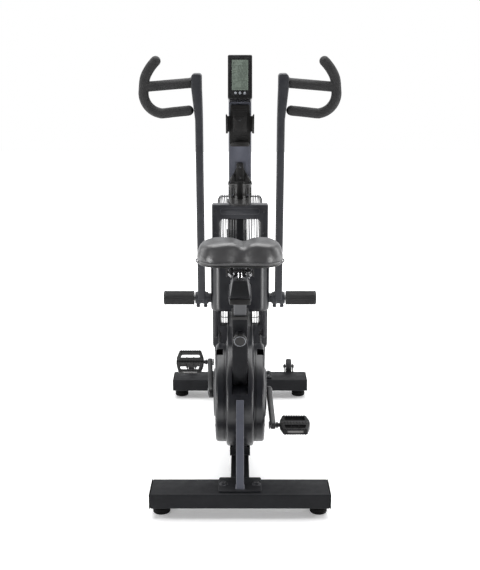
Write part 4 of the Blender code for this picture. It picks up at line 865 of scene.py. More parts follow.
def casing(side):
    """One half of the belt casing, slotted for the frame, with a ledge in its seat tube notch and screws."""
    sign = SIDES[side]
    name = "casing_" + side
    shell = dish(name + "_shell", casing_outline(), sign * 0.0003, sign * 0.045, 0.0024, 0.0085)
    slack = 0.001
    cut(
        shell,
        along_tube("tube_room", 0.025 + slack, -0.6, 0.03),
        strut_room(slack),
        block("post_room", (-0.0135, ahead(0.607), 0.15), (0.0135, ahead(0.643), 0.7)),
        block("bracket_room", (-0.019, ahead(0.338), 0.1), (0.019, ahead(0.363), 0.2)),
        through("axle_room", CRANK, 0.013, across(side, (0.03, 0.06))),
    )
    if side == "right":
        cut(shell, block("belt_mouth", (0.022, ahead(0.652), 0.34), (0.0415, ahead(0.672), 0.525)))
    inner = 0.0003 if side == "right" else -0.0262
    cut(shell, block("notch", (-0.0262, -0.12, -0.262), (0.0262, -0.02, -0.12), 0, 1, seat_tube_frame()))
    ledge = block(
        "ledge", (inner, -0.0722, -0.265), (inner + 0.0259, -0.0256, -0.262), 0, 1, seat_tube_frame()
    )
    dress(merged(name + "_shell", [shell, ledge]), "frame", "casing_plastic", name)
    places = ((0.64, 0.365), (0.64, 0.56), (0.56, 0.335), (0.535, 0.475))
    seats = [(sign * 0.045, ahead(y), z) for y, z in places]
    screws(name + "_screws", seats, (sign, 0, 0), 0.0045, 0.0018)


def crank_cover(side):
    """A round dished cover with a raised boss, pressed rings, two openings and screws."""
    sign = SIDES[side]
    name = "crank_cover_" + side
    radius, rim_x, boss_radius, boss_x = 0.166, 0.081, 0.091, 0.0882
    inner, wall = 0.0453, 0.0022
    outer = [(0.014, boss_x - 0.0005), (0.015, boss_x), (0.03, boss_x), (0.031, boss_x - 0.0008)]
    outer += [(0.0335, boss_x - 0.0008), (0.0345, boss_x), (boss_radius - 0.013, boss_x)]
    outer += arc((boss_radius - 0.013, boss_x - 0.005), 0.005, 80, 25, 5)
    outer += [(boss_radius - 0.0035, rim_x + 0.0012), (boss_radius - 0.0012, rim_x)]
    outer += [(0.118, rim_x), (0.119, rim_x - 0.001), (0.122, rim_x - 0.001), (0.123, rim_x)]
    outer += arc((radius - 0.01, rim_x - 0.01), 0.01, 88, 0, 10)
    outer += [(radius, inner + 0.0075), (radius - 0.0012, inner + 0.0065), (radius - 0.0012, inner + 0.0055)]
    outer += [(radius, inner + 0.0045), (radius, inner)]
    inside = [(radius - wall, inner), (radius - wall, rim_x - 0.01)]
    inside += arc((radius - 0.01, rim_x - 0.01), 0.01 - wall, 10, 80, 5)
    inside += [(0.014, rim_x - wall)]
    cover = turned(name + "_dish", outer + inside, (0, CRANK.y, CRANK.z), (sign, 0, 0), 128, closed=True)
    slots = []
    for start, end in ((19, 56), (100, 112)):
        outline = arc(yz(CRANK), 0.186, start, end, 12) + arc(yz(CRANK), 0.136, end, start, 12)
        slots.append(prism("slot", outline, "X", across(side, (0.0565, 0.0795))))
    cut(cover, *slots)
    outline = arc(yz(CRANK), 0.1635, 64, 97, 12) + arc(yz(CRANK), 0.12, 97, 64, 12)
    backing = prism("backing", outline, "X", across(side, (inner + 0.001, rim_x - 0.0024)))
    dress(merged(name + "_dish", [cover, backing]), "frame", "casing_plastic", name)
    seats = [(sign * rim_x, y, z) for y, z in arc(yz(CRANK), 0.14, 30, 330, 5)]
    screws(name + "_screws", seats, (sign, 0, 0), 0.0045, 0.0018)


def wind_guard():
    """The curved panel behind the fork, its lower and upper edges rolled in."""
    reach, back, corner = high("wind_guard").x, 0.485, 0.036
    base, top = low("wind_guard").z, high("wind_guard").z
    levels = [(base, 0.0075), (base + 0.0007, 0.0045), (base + 0.0025, 0.0022), (base + 0.0055, 0.0006)]
    levels += [(base + 0.009, 0.0)] + [(base + 0.016 + k * (top - base - 0.026) / 10, 0.0) for k in range(11)]
    levels += [(top - 0.004, 0.0), (top - 0.0012, 0.0008), (top, 0.0022)]
    shape = bmesh.new()
    rows = []
    for z, inset in levels:
        radius = corner - inset
        side_x = reach - inset
        half = [(side_x, 0.598), (side_x, 0.58), (side_x, 0.56)]
        half += arc((reach - corner, back + corner), radius, 0, -90, 20)
        half += [(0.034, back + inset - 0.0008), (0.015, back + inset - 0.0017)]
        points = half + [(0, back + inset - 0.002)] + [(-x, y) for x, y in reversed(half)]
        rows.append([shape.verts.new((x, ahead(y), z)) for x, y in points])
    for one, two in zip(rows, rows[1:]):
        band(shape, two, one, closed=False)
    guard = solidified(linked("wind_guard_panel", shape), 0.0024)
    for side in SIDES:
        cut(guard, through("hole", PIVOT, 0.0185, across(side, (0.09, 0.11))))
    dress(guard, "frame", "casing_plastic", "wind_guard")
    seats = [(sign, (sign * reach, ahead(0.59), z)) for sign in SIDES.values() for z in (0.545, 0.69)]
    heads = [pan_screw("screw", at, (sign, 0, 0), 0.004, 0.0018) for sign, at in seats]
    dress(merged("wind_guard_screws", heads), "frame", "crank_coat")


# Cage and fan


def cage(side):
    """Half of the cage: hoops round the rim, rings on the side, bent cross wires and a hub plate."""
    sign = SIDES[side]
    wire, thin, bend = 0.0021, 0.00155, 0.015
    side_x, rim = 0.088 - wire, 0.315 - wire
    parts = []

    def ring(x, radius, steps=112):
        parts.append(hoop("ring", beside(FAN, sign * x), (1, 0, 0), radius, thin, steps))

    hoops = 8
    pitch = (side_x - bend - 0.006) / (hoops - 1)
    for k in range(hoops):
        ring(0.006 + pitch * k, rim - 0.003)
    corner = arc((side_x - bend, rim - bend), bend, 0, 90, 4)
    for x, radius in arc((side_x - bend - 0.002, rim - bend - 0.002), bend, 60, 30, 1):
        ring(x, radius)
    radius = 0.066
    while radius < rim - bend - 0.004:
        ring(side_x - 0.003, radius, 96)
        radius += 0.0118
    flat = [(side_x, 0.046), (side_x, 0.12), (side_x, 0.2)] + corner + [(0.04, rim), (0.0016, rim)]
    belt_angle = math.atan2(CRANK.z - FAN.z, CRANK.y - FAN.y)
    for k in range(12):
        angle = belt_angle + math.radians(15 + 30 * k)
        path = [(sign * x, FAN.y + r * math.cos(angle), FAN.z + r * math.sin(angle)) for x, r in flat]
        parts.append(tube("cross_wire", path, wire, 8))
    profile = mm((8.8, 2), (12, 3.2), (20, 3.2), (23.5, 1.2), (48, 1.2), (51.5, 0.5), (52, -0.5))
    profile += mm((51.5, -1.9), (8.8, -1.9))
    parts.append(turned("hub_plate", profile, beside(FAN, sign * side_x), (sign, 0, 0), 64, closed=True))
    dress(merged("cage_wires_" + side, parts, 50), "frame", "cage_coat", "cage_" + side)
    if side == "left":
        clips = []
        clip_low, clip_high = (-0.0085, -0.0065, rim - 0.0062), (0.0085, 0.0065, rim + 0.0012)
        for k in range(6):
            angle = belt_angle + math.radians(45 + 60 * k)
            turn = Matrix.Translation(beside(FAN, 0)) @ Matrix.Rotation(angle - math.pi / 2, 4, "X")
            clips.append(block("clip", clip_low, clip_high, 0.0012, 2, turn))
        dress(merged("cage_clips", clips), "frame", "moulded_plastic")


def fan():
    """Folded blades on a welded disc, with a turned hub and two rings that brace the blades."""
    left, right = low("fan_wheel").x, high("fan_wheel").x
    centre_x = (left + right) / 2
    parts = []
    profile = [(0.0085, right - 0.002), (0.0215, right - 0.002), (0.0238, right - 0.0045)]
    profile += [(0.0238, left + 0.0065), (0.0215, left + 0.004), (0.0085, left + 0.004)]
    parts.append(turned("hub", profile, beside(FAN, 0), (1, 0, 0), 64, closed=True))
    disc = mm((8.5, 1.9), (104, 1.9), (109.2, 1.2), (110, 0), (109.2, -1.2), (104, -1.9), (8.5, -1.9))
    parts.append(turned("disc", disc, beside(FAN, centre_x), (1, 0, 0), 96, closed=True))
    fold = mm((-1.4, 20.5), (1.4, 20.5), (1.4, 256), (5.2, 294), (2.4, 294.4))
    fold += [(-0.0014, 0.258)]
    for k in range(8):
        turn = Matrix.Translation(FAN) @ Matrix.Rotation(k * math.pi / 4, 4, "X")
        parts.append(prism("blade", fold, "X", (left, right), 0.0006, 2, turn))
        for x in (centre_x - 0.0075, centre_x + 0.0075):
            seat = turn @ Vector((x, 0.0014, 0.1))
            parts.append(pan_screw("rivet", seat, turn.to_3x3() @ Vector((0, 1, 0)), 0.0032, 0.0016))
    for x in (left + 0.01, right - 0.01):
        parts.append(hoop("brace", beside(FAN, x), (1, 0, 0), 0.205, 0.0022, 112, 8))
    dress(merged("fan_blades", parts), "fan", "fan_coat", "fan_wheel")


def pulley_profile(radius, bore, wall, lowest, highest):
    """A ribbed pulley's profile, from its recessed side round its rim."""
    web = lowest + 0.005
    profile = [(bore, web), (radius - wall, web), (radius - wall, highest), (radius - 0.0006, highest)]
    count = 4
    step = (highest - lowest - 0.003) / count
    profile.append((radius, highest - 0.001))
    for k in range(count):
        x = highest - 0.0015 - step * k
        profile += [(radius, x - step * 0.15), (radius - 0.0012, x - step * 0.5), (radius, x - step * 0.85)]
    return profile + [(radius, lowest + 0.001), (radius - 0.0006, lowest), (bore, lowest)]


def pulleys():
    for node, body, at, radius, bore, wall, steps in (
        ("crank_pulley", "crank", CRANK, 0.105, 0.0103, 0.008, 128),
        ("fan_pulley", "fan", FAN, 0.03, 0.0085, 0.006, 64),
    ):
        lowest, highest = low(node).x, high(node).x
        profile = pulley_profile(radius, bore, wall, lowest, highest)
        wheel = turned(node + "_turned", profile, beside(at, 0), (1, 0, 0), steps, closed=True)
        dress(wheel, body, "bright_steel", node)


def drive_belt():
    shape = bmesh.new()
    lowest, highest = low("drive_belt").x, high("drive_belt").x
    outer, inner = [link_outline(yz(CRANK), r, yz(FAN), r - 0.075, 56) for r in (0.1092, 0.1062)]
    corners = ((lowest, outer), (highest, outer), (highest, inner), (lowest, inner))
    rings = [[shape.verts.new((x, y, z)) for y, z in outline] for x, outline in corners]
    for one, two in zip(rings, rings[1:] + rings[:1]):
        band(shape, one, two)
    dress(add("drive_belt_loop", shape), "frame", "belt_rubber", "drive_belt")


def fan_axle():
    parts = [through("axle", FAN, 0.0079, (-0.1158, 0.1158), 0.001)]
    for sign in SIDES.values():
        at = beside(FAN, sign * 0.1064)
        parts.append(hex_bolt("axle_nut", at, (sign, 0, 0), 0.0215, 0.0066, washer=False))
        ring = mm((8, 0), (13.5, 0), (13.8, 0.5), (13.5, 1), (8, 1))
        parts.append(turned("axle_washer", ring, at, (sign, 0, 0), 40, closed=True))
        for k in range(3):
            at = beside(FAN, sign * (0.1138 + 0.0007 * k))
            parts.append(hoop("thread", at, (1, 0, 0), 0.0078, 0.0003, 40, 5))
    dress(merged("fan_axle_bolt", parts, 25), "frame", "bright_steel", "fan_axle")


# Drive


def pedal_axis(side):
    return joint_at(f"pedal_{side}_spin")


def crank_arm(side):
    """A forged arm that flares to the pedal, with a dust cap, a relieved web and the pedal's spindle."""
    sign = SIDES[side]
    end = pedal_axis(side)
    reach = end - CRANK
    slope = sign * 0.008 / reach.length_squared
    flare = Matrix.Identity(4)
    flare[0][1] = slope * reach.y
    flare[0][2] = slope * reach.z
    to_crank = Matrix.Translation(Vector((0, -CRANK.y, -CRANK.z)))
    place = to_crank.inverted() @ flare @ to_crank
    inner, outer = 0.0905, 0.1075
    body = link_plate("arm", CRANK, 0.0198, end, 0.0133, across(side, (inner, outer)), 0.0042, place)
    slim = link_outline(yz(CRANK.lerp(end, 0.18)), 0.008, yz(CRANK.lerp(end, 0.84)), 0.0055)
    groove = prism("groove", slim, "X", across(side, (outer - 0.0015, outer + 0.01)), 0.0008, 2, place)
    cut(body, groove)
    parts = [body]
    cap = mm((0, 2.4), (10, 2.4), (12.8, 1), (13.2, -1), (0, -1))
    parts.append(turned("dust_cap", cap, beside(CRANK, sign * outer), (sign, 0, 0), 48))
    boss = mm((6.2, 2.2), (11.2, 2.2), (12.2, 1.2), (12.2, -2), (6.2, -2))
    seat = beside(end, sign * (inner + 0.0052))
    parts.append(turned("pedal_boss", boss, seat, (-sign, 0, 0), 40, closed=True))
    dress(merged("crank_arm_forged_" + side, parts), "crank", "crank_coat", "crank_arm_" + side)
    steel = [through("spindle", end, 0.0064, across(side, (0.108, 0.2218)), 0.0006)]
    steel.append(hex_bolt("collar", beside(end, sign * 0.1172), (sign, 0, 0), 0.0165, 0.007, washer=False))
    dress(merged("pedal_spindle_" + side, steel, 25), "crank", "crank_coat")


def pedal(side):
    """A platform pedal: a hexagonal frame with toothed edges, two windows, a ribbed barrel and reflectors."""
    sign = SIDES[side]
    inner, outer = 0.1295, 0.2265
    long, half = 0.044, 0.011
    place = Matrix.Translation(pedal_axis(side)) @ Matrix.Rotation(PEDAL_PITCH[side], 4, "X")

    def on_axis(x):
        return place @ Vector((sign * x, 0, 0))

    def box(name, x_range, y_range, z, bevel=0.0, segments=1):
        ends = [(sign * x, y, height) for x, y, height in zip(x_range, y_range, (-z, z))]
        return block(name, *ends, bevel, segments, place)

    corners = [(inner, 0.013), (inner + 0.01, long), (outer - 0.009, long), (outer, 0.013)]
    corners += [(x, -y) for x, y in reversed(corners)]
    outline = rounded([(sign * x, y) for x, y in corners], 0.0035, 4)
    body = prism("pedal", outline, "Z", (-half + 0.0015, half - 0.0015), 0.0015, 2, place)
    rim = long - 0.008
    window = [(inner + 0.012, 0.0135), (inner + 0.018, rim), (outer - 0.017, rim), (outer - 0.011, 0.0135)]
    tools = []
    for flip in (1, -1):
        opening = rounded([(sign * x, flip * y) for x, y in window], 0.004, 4)
        tools.append(prism("window", opening, "Z", (-0.03, 0.03), 0, 1, place))
        room = (flip * (long - 0.0022), flip * (long + 0.01))
        tools.append(box("reflector_room", (0.152, 0.204), room, 0.0052))
    tools.append(rod("bore", on_axis(0.12), on_axis(0.2232), 0.007))
    parts = [cut(body, *tools)]
    length = outer - inner - 0.0006
    barrel = mm((7.1, 0), (11.8, 0))
    for k in range(9):
        start = 0.004 + k * (length - 0.008) / 9
        barrel += [(0.0118, start), (0.013, start + 0.0012)]
        barrel += [(0.013, start + 0.0052), (0.0118, start + 0.0064)]
    barrel += [(0.0118, length), (0.0071, length)]
    parts.append(turned("barrel", barrel, on_axis(inner + 0.0003), (sign, 0, 0), 40, closed=True))
    foot, tooth = half - 0.0018, half + 0.001
    for flip in (1, -1):
        edge = sorted((flip * (long - 0.0068), flip * (long - 0.0004)))
        for face in (1, -1):
            for k in range(9):
                x = sign * (inner + 0.0155 + k * 0.0082)
                tip = [(x - 0.0024, foot), (x - 0.0012, tooth), (x + 0.0012, tooth), (x + 0.0024, foot)]
                parts.append(prism("tooth", [(u, v * face) for u, v in tip], "Y", edge, 0.0003, 1, place))
        for x in (inner + 0.036, inner + 0.061):
            span = (x - 0.0014, x + 0.0014)
            parts.append(box("rib", span, (flip * 0.01, flip * 0.02), 0.0065, 0.0008, 2))
    cap = mm((0, 1.8), (8.5, 1.8), (10.5, 0.6), (10.5, -4), (0, -4))
    parts.append(turned("end_cap", cap, on_axis(outer - 0.0012), (sign, 0, 0), 40))
    dress(merged("pedal_platform_" + side, parts), "pedal_" + side, "pedal_plastic", "pedal_" + side)
    lenses = []
    for flip in (1, -1):
        depth = (flip * (long - 0.0024), flip * (long - 0.0004))
        lenses.append(box("lens", (0.1525, 0.2035), depth, 0.0048, 0.0006, 2))
    made = merged("pedal_reflectors_" + side, lenses)
    dress(made, "pedal_" + side, "pedal_plastic", look="reflector_plastic")


def link_pin(side):
    along = (LEVER_END - CRANK).normalized()
    square = Vector((0, -along.z, along.y))
    return CRANK + square * 0.028 * -SIDES[side]


def con_rod(side):
    """The rod with a bossed eye at each end of its shank."""
    sign, pin = SIDES[side], link_pin(side)
    inner, outer = 0.0682, 0.0782
    span = across(side, (inner + 0.0018, outer - 0.0018))
    shank = link_plate("rod", LEVER_END, 0.0075, pin, 0.0075, span, 0.0016)
    tools, eyes = [], []
    for at, bore in ((LEVER_END, 0.0065), (pin, 0.008)):
        tools.append(through("bore", at, bore, across(side, (0.06, 0.09))))
        ring = [(bore, 0.0), (0.0104, 0.0), (0.011, 0.0006), (0.011, 0.0094), (0.0104, 0.01)]
        ring.append((bore, 0.01))
        eyes.append(turned("eye", ring, beside(at, sign * inner), (sign, 0, 0), 48, closed=True))
    made = merged("con_rod_forged_" + side, [cut(shank, *tools)] + eyes)
    dress(made, "con_rod_" + side, "bright_steel", "con_rod_" + side, look="crank_coat")


# Arms


def pivot_shaft():
    shaft = through("pivot_shaft_bar", PIVOT, 0.0089, (-0.2615, 0.2615), 0.0008)
    dress(shaft, "frame", "bright_steel", "pivot_shaft")


def foot_peg(side):
    """A ribbed rubber sleeve with a smooth flange at each end."""
    sign = SIDES[side]
    inner, outer = 0.162, 0.27
    radius = 0.0248
    ridges, per = 26, 6
    outline = []
    for k in range(ridges * per):
        angle = 2 * math.pi * k / (ridges * per)
        wave = min(max(0.5 + 1.4 * math.cos(ridges * angle), 0), 1)
        reach = radius - 0.0016 + 0.0013 * wave
        outline.append((PIVOT.y + reach * math.cos(angle), PIVOT.z + reach * math.sin(angle)))
    sleeve = prism("sleeve", outline, "X", across(side, (inner + 0.004, outer - 0.007)), 0, 1, None, 25)
    end = mm((0, 8), (16, 8)) + arc((radius - 0.0045, 0.0035), 0.0045, 85, 0, 6)
    end += [(radius, 0.0), (0, 0.0)]
    tip = turned("tip", end, beside(PIVOT, sign * (outer - 0.008)), (sign, 0, 0), 72)
    ring = [(0.0094, 0.0), (radius - 0.0015, 0.0), (radius, 0.0012), (radius, 0.0045)]
    ring += [(radius - 0.001, 0.0055), (0.0094, 0.0055)]
    flange = turned("flange", ring, beside(PIVOT, sign * inner), (sign, 0, 0), 72, closed=True)
    dress(merged("foot_peg_sleeve_" + side, [sleeve, tip, flange]), "frame", "peg_rubber", "foot_peg_" + side)


def arm_hub(side):
    """The two-band clamp on the shaft, its split ears and mushroom bolts, the sleeve and the lever."""
    sign = SIDES[side]
    start, end = 0.112, 0.159
    width = end - start
    body = mm((9.6, 0), (19.5, 0), (20.7, 1.2), (20.7, 4), (22.4, 5.2))
    body += [(0.0224, 0.017), (0.0209, 0.0185), (0.0209, width - 0.0185), (0.0224, width - 0.017)]
    body += [(0.0224, width - 0.0052), (0.0207, width - 0.004), (0.0207, width - 0.0012), (0.0195, width)]
    body += [(0.0096, width)]
    parts = [turned("hub", body, beside(PIVOT, sign * start), (sign, 0, 0), 72, closed=True)]
    for x in (0.1225, 0.1485):
        for offset in (-0.006, 0.006):
            at = beside(PIVOT, sign * x) + Vector((0, offset, 0))
            lowest, highest = Vector((-0.0062, -0.0042, -0.0285)), Vector((0.0062, 0.0042, -0.017))
            parts.append(block("ear", at + lowest, at + highest, 0.0014, 3))
    sleeve = mm((9.6, 0), (16, 0), (16.8, 0.8), (16.8, 33), (9.6, 33))
    parts.append(turned("sleeve", sleeve, beside(PIVOT, sign * 0.0805), (sign, 0, 0), 56, closed=True))
    lever = link_plate("lever", PIVOT, 0.0188, LEVER_END, 0.0124, across(side, (0.0797, 0.0908)), 0.0018)
    parts.append(cut(lever, through("bore", PIVOT, 0.0096, across(side, (0.07, 0.1)))))
    parts.append(through("lever_pin", LEVER_END, 0.0059, across(side, (0.0674, 0.084)), 0.0006, 32))
    dress(merged("arm_hub_clamp_" + side, parts), "arm_" + side, "arm_coat", "arm_hub_" + side)
    bolts = []
    for x in (0.1225, 0.1485):
        seat = Vector((sign * x, PIVOT.y, PIVOT.z - 0.0287))
        stem = mm((0, 5.6), (4.8, 5.4), (7, 4), (7.8, 2), (7.4, 0.4), (4.2, 0), (4.2, -6), (0, -6))
        bolts.append(turned("hub_bolt", stem, seat, (0, 0, -1), 32))
    dress(merged("arm_hub_bolts_" + side, bolts), "arm_" + side, "crank_coat")


def arm(side):
    """The arm tube with its waisted head block, welded to the hub."""
    sign = SIDES[side]
    inner, outer = 0.1235, 0.1485
    rise = 1.358 - PIVOT.z
    inner_edge = [(inner, 0), (inner + 0.001, rise - 0.15), (inner + 0.0018, rise - 0.09)]
    inner_edge += [(inner + 0.003, rise - 0.05), (inner + 0.003, rise)]
    outer_edge = [(0.1606, rise), (0.1606, rise - 0.052), (0.1552, rise - 0.1)]
    outer_edge += [(outer + 0.001, rise - 0.15), (outer, 0)]
    corners = [(sign * x, z) for x, z in inner_edge + outer_edge]
    outline = rounded(corners, [0, 0.05, 0.05, 0.02, 0.01, 0.011, 0.014, 0.06, 0.08, 0], steps=5)
    place = Matrix.Translation(PIVOT) @ Matrix.Rotation(ARM_LEAN, 4, "X")
    bar = prism("bar", outline, "Y", (-0.025, 0.025), 0.0034, 4, place)
    cut(bar, through("hub_room", PIVOT, 0.0226, across(side, (0.1, 0.175)), 0, 72))
    parts = [bar]
    for x in (inner + 0.0006, outer - 0.0006):
        path = [(sign * x, y, z) for y, z in arc(yz(PIVOT), 0.023, 52, 128, 19)]
        parts.append(weld("hub_weld", path, 0.0016))
    dress(merged("arm_bar_" + side, parts), "arm_" + side, "arm_coat", "arm_" + side)


def handle(side):
    """Foam grips on the looped handle: the upper horn and outer bend, the lower bar, and the middle bar."""
    sign = SIDES[side]
    bend = arc((0.2555, 1.2916), 0.065, 8, -88, 10)
    outer = mm((278, 1397), (298.5, 1372), (314.5, 1341)) + bend + mm((214, 1231.5), (168, 1236))
    route = [(0.2735, 1.4035)] + outer + [(0.16, 1.2366)]
    lean = math.tan(ARM_LEAN)

    def place(x, z):
        return Vector((sign * x, PIVOT.y - (z - PIVOT.z) * lean, z))

    path = smooth_path([place(x, z) for x, z in route], 5)
    radius = 0.0169
    loop = tube("loop", path, radius, 32, round_ends=True, reach=(0.0085, 0.0055))
    middle = [place(0.1609 + k * 0.0157, 1.3264 - k * 0.00133) for k in range(11)]
    union(loop, tube("bar", middle, radius - 0.0002, 32))
    loop.name = "handle_grip_" + side
    shade(loop, 40)
    dress(loop, "arm_" + side, "grip_rubber", "handle_" + side)
    at = place(0.1607, 1.3264)
    collar = mm((10, 0), (17.6, 0), (18, 0.5), (18, 3.2), (17.6, 3.7), (10, 3.7))
    ring = turned("handle_collar_" + side, collar, at, (sign, 0, -0.085), 48, closed=True)
    dress(ring, "arm_" + side, "moulded_plastic")


# Seat


def height_knob():
    """The sprung pull knob: a scalloped grip with a ring let into its face."""
    pin = pin_frame()
    profile = mm((0, 59), (15, 59), (15.8, 59.8), (19.5, 59.8))
    profile += arc((0.0195, 0.0573), 0.0024, 80, 0, 5)
    profile += mm((21.9, 48), (20.6, 46.6), (15, 45), (12.5, 42.6), (4.8, 42.6), (4.8, 20.6), (0, 20.6))
    knob = turned("height_knob_grip", profile, (0, 0, 0), (0, 0, 1), 96, lobes=(16, 0.0011, 5, 11), place=pin)
    dress(knob, "height_knob", "moulded_plastic", "height_knob")
    rim = mm((16.6, 59.5), (16.8, 60.2), (18.3, 60.2), (18.5, 59.5))
    ring = turned("height_knob_ring", rim, (0, 0, 0), (0, 0, 1), 64, closed=True, place=pin)
    dress(ring, "height_knob", "button_plastic")


def slider():
    """The rail's tube, its end cap, and the pull knob under it."""
    lowest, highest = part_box("slider_rail")
    rail = block("slider_rail_tube", lowest, highest, 0.0022, 4)
    wall = Vector((0.0025, -0.01, 0.0025))
    hole = rod("bore", (0, ahead(0.262), lowest.z - 0.01), (0, ahead(0.262), lowest.z + 0.006), 0.0046)
    cut(rail, block("hollow", lowest + wall, highest - wall), hole)
    dress(rail, "seat_post", "post_coat", "slider_rail")
    cap = block("slider_cap", *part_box("slider_end_cap"), 0.0026, 4)
    dress(cap, "seat_post", "moulded_plastic", "slider_end_cap")
    z = lowest.z
    profile = [(0, z + 0.0068), (0.004, z + 0.0068), (0.004, z - 0.006), (0.011, z - 0.0062)]
    profile += [(0.015, z - 0.0095), (0.016, z - 0.0125), (0.016, z - 0.0245), (0.0148, z - 0.028)]
    profile += [(0.0115, z - 0.0298), (0, z - 0.03)]
    knob = turned("slider_knob_grip", profile, (0, ahead(0.262), 0), (0, 0, 1), 72, lobes=(12, 0.0012, 4, 7))
    dress(knob, "slider_knob", "moulded_plastic", "slider_knob")


def frustum(name, base, top, span, bevel):
    """A box whose top is another rectangle, with rounded edges. Each has a half width, a rear and a front."""
    shape = bmesh.new()
    ends = []
    for (half, rear, front), z in zip((base, top), span):
        corners = ((-half, rear), (half, rear), (half, front), (-half, front))
        ends.append([shape.verts.new((x, y, z)) for x, y in corners])
    band(shape, *ends)
    for end in ends:
        shape.faces.new(end)
    soften(shape, bevel, 4, 20)
    return add(name, shape)


def seat_carriage():
    """The shoe on the rail, tapered to the clamp's stem, and the chrome clamp with toothed washers."""
    rail_low, rail_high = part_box("slider_rail")
    start, end = ahead(0.0665), ahead(0.235)
    half = rail_high.x
    top = (0.023, CLAMP.y - 0.028, CLAMP.y + 0.028)
    shoe = frustum("shoe", (half, start, end), top, (rail_high.z + 0.0005, 0.737), 0.0026)
    wide, corner = half + 0.003, rail_high.z + 0.0035
    skirt = block("skirt", (-wide, start + 0.004, rail_low.z + 0.006), (wide, end - 0.004, corner), 0.001, 2)
    wide, corner = half + 0.0005, rail_high.z + 0.0005
    room = block("room", (-wide, start - 0.02, rail_low.z), (wide, end + 0.02, corner))
    stem = rod("stem", (0, CLAMP.y, 0.733), (0, CLAMP.y, CLAMP.z - 0.0165), 0.0124, 0.0006)
    made = union(shoe, skirt, stem)
    cut(made, room)
    made.name = "seat_carriage_shoe"
    dress(made, "seat_carriage", "post_coat", "seat_carriage")
    half_profile = mm((0, 38.8), (7.5, 38.8), (8.4, 37.8), (8.4, 33), (12.5, 33), (13, 32.2), (13, 30.5))
    half_profile += mm((17.8, 30), (18, 29), (18, 26.2), (16, 25.2), (18, 24.2), (18, 20), (15, 18.8))
    half_profile += mm((13.8, 17), (13.8, 6), (12.8, 4))
    profile = half_profile + [(r, -x) for r, x in reversed(half_profile)]
    barrel = turned("barrel", profile, CLAMP, (1, 0, 0), 96, lobes=(24, 0.0012, 7, 12))
    collar = mm((0, 0), (13.4, 0), (13.4, -12), (12.4, -13.5), (13.2, -15), (12.8, -16.2), (0, -16.2))
    parts = [barrel, turned("collar", collar, CLAMP, (0, 0, 1), 48)]
    for sign in SIDES.values():
        seat = beside(CLAMP, sign * 0.0335)
        parts.append(hex_bolt("clamp_nut", seat, (sign, 0, 0), 0.0175, 0.005, washer=False))
    dress(merged("seat_clamp_chrome", parts, 25), "seat_carriage", "clamp_chrome", "seat_clamp")


# The saddle's outline from behind the rider to the nose, on its right side
SADDLE_HALF = mm((0, 12), (50, 5), (98, 13), (129, 44), (135.5, 85), (122, 128), (92, 166), (62, 205))
SADDLE_HALF += mm((42, 245), (24, 274), (0, 285))


def saddle_loop(scale, per=6):
    """The saddle's closed outline about its middle, as smooth points."""
    points = SADDLE_HALF + [(-x, y) for x, y in reversed(SADDLE_HALF[1:-1])]
    centre = 0.13
    flat = [Vector((x * scale, ahead(centre + (y - centre) * scale), 0)) for x, y in points]
    return smooth_path(flat, per, closed=True)


def saddle_top(x, y):
    """Height of the pad's crown: two humps behind, a dip between them, and a lower nose."""
    back = (y - ahead(0.0)) / 0.286
    hump = bell(max(abs(x - 0.006) - 0.062, 0), 0.075) * bell(max(back - 0.34, 0), 0.3)
    dip = bell(x - 0.01, 0.02)
    nose = 0.046 * smooth_step(0.36, 0.92, back)
    return 0.866 + 0.008 * hump - 0.015 * dip * (1 - smooth_step(0.35, 0.8, back)) - nose


def bell(distance, width):
    return math.exp(-((distance / width) ** 2))


def smooth_step(start, end, value):
    share = min(max((value - start) / (end - start), 0.0), 1.0)
    return share * share * (3 - 2 * share)


def saddle_shape():
    """The pad before it is inflated: rings from the middle out over the crown and back under the base."""
    base = low("saddle_pad").z + 0.001
    side = 0.022
    shoulder = 0.26
    shape = bmesh.new()
    outline = saddle_loop(0.985, 5)
    spine = [Vector((0, min(max(p.y, ahead(0.085)), ahead(0.225)), 0)) for p in outline]
    rings = []
    for k in range(13):
        fall = max(0.0, (k / 12 - (1 - shoulder)) / shoulder)
        ring = []
        for p, s in zip(outline, spine):
            at = s.lerp(p, k / 12)
            rise = (saddle_top(at.x, at.y) - base - side) * math.sqrt(max(1 - fall**3.2, 0))
            ring.append(shape.verts.new((at.x, at.y, base + side + rise)))
        rings.append(ring)
    for k in range(1, 7):
        share = k / 6
        inward = 0.1 * share**2 if share < 0.6 else 0.036 + (share - 0.6) * 2.41
        height = side * (1 - math.sin(min(share * 1.6, 1) * math.pi / 2))
        ring = [p.lerp(s, inward) for p, s in zip(outline, spine)]
        rings.append([shape.verts.new((at.x, at.y, base + height)) for at in ring])
    for one, two in zip(rings, rings[1:]):
        band(shape, one, two)
    return add("saddle_cushion", shape)


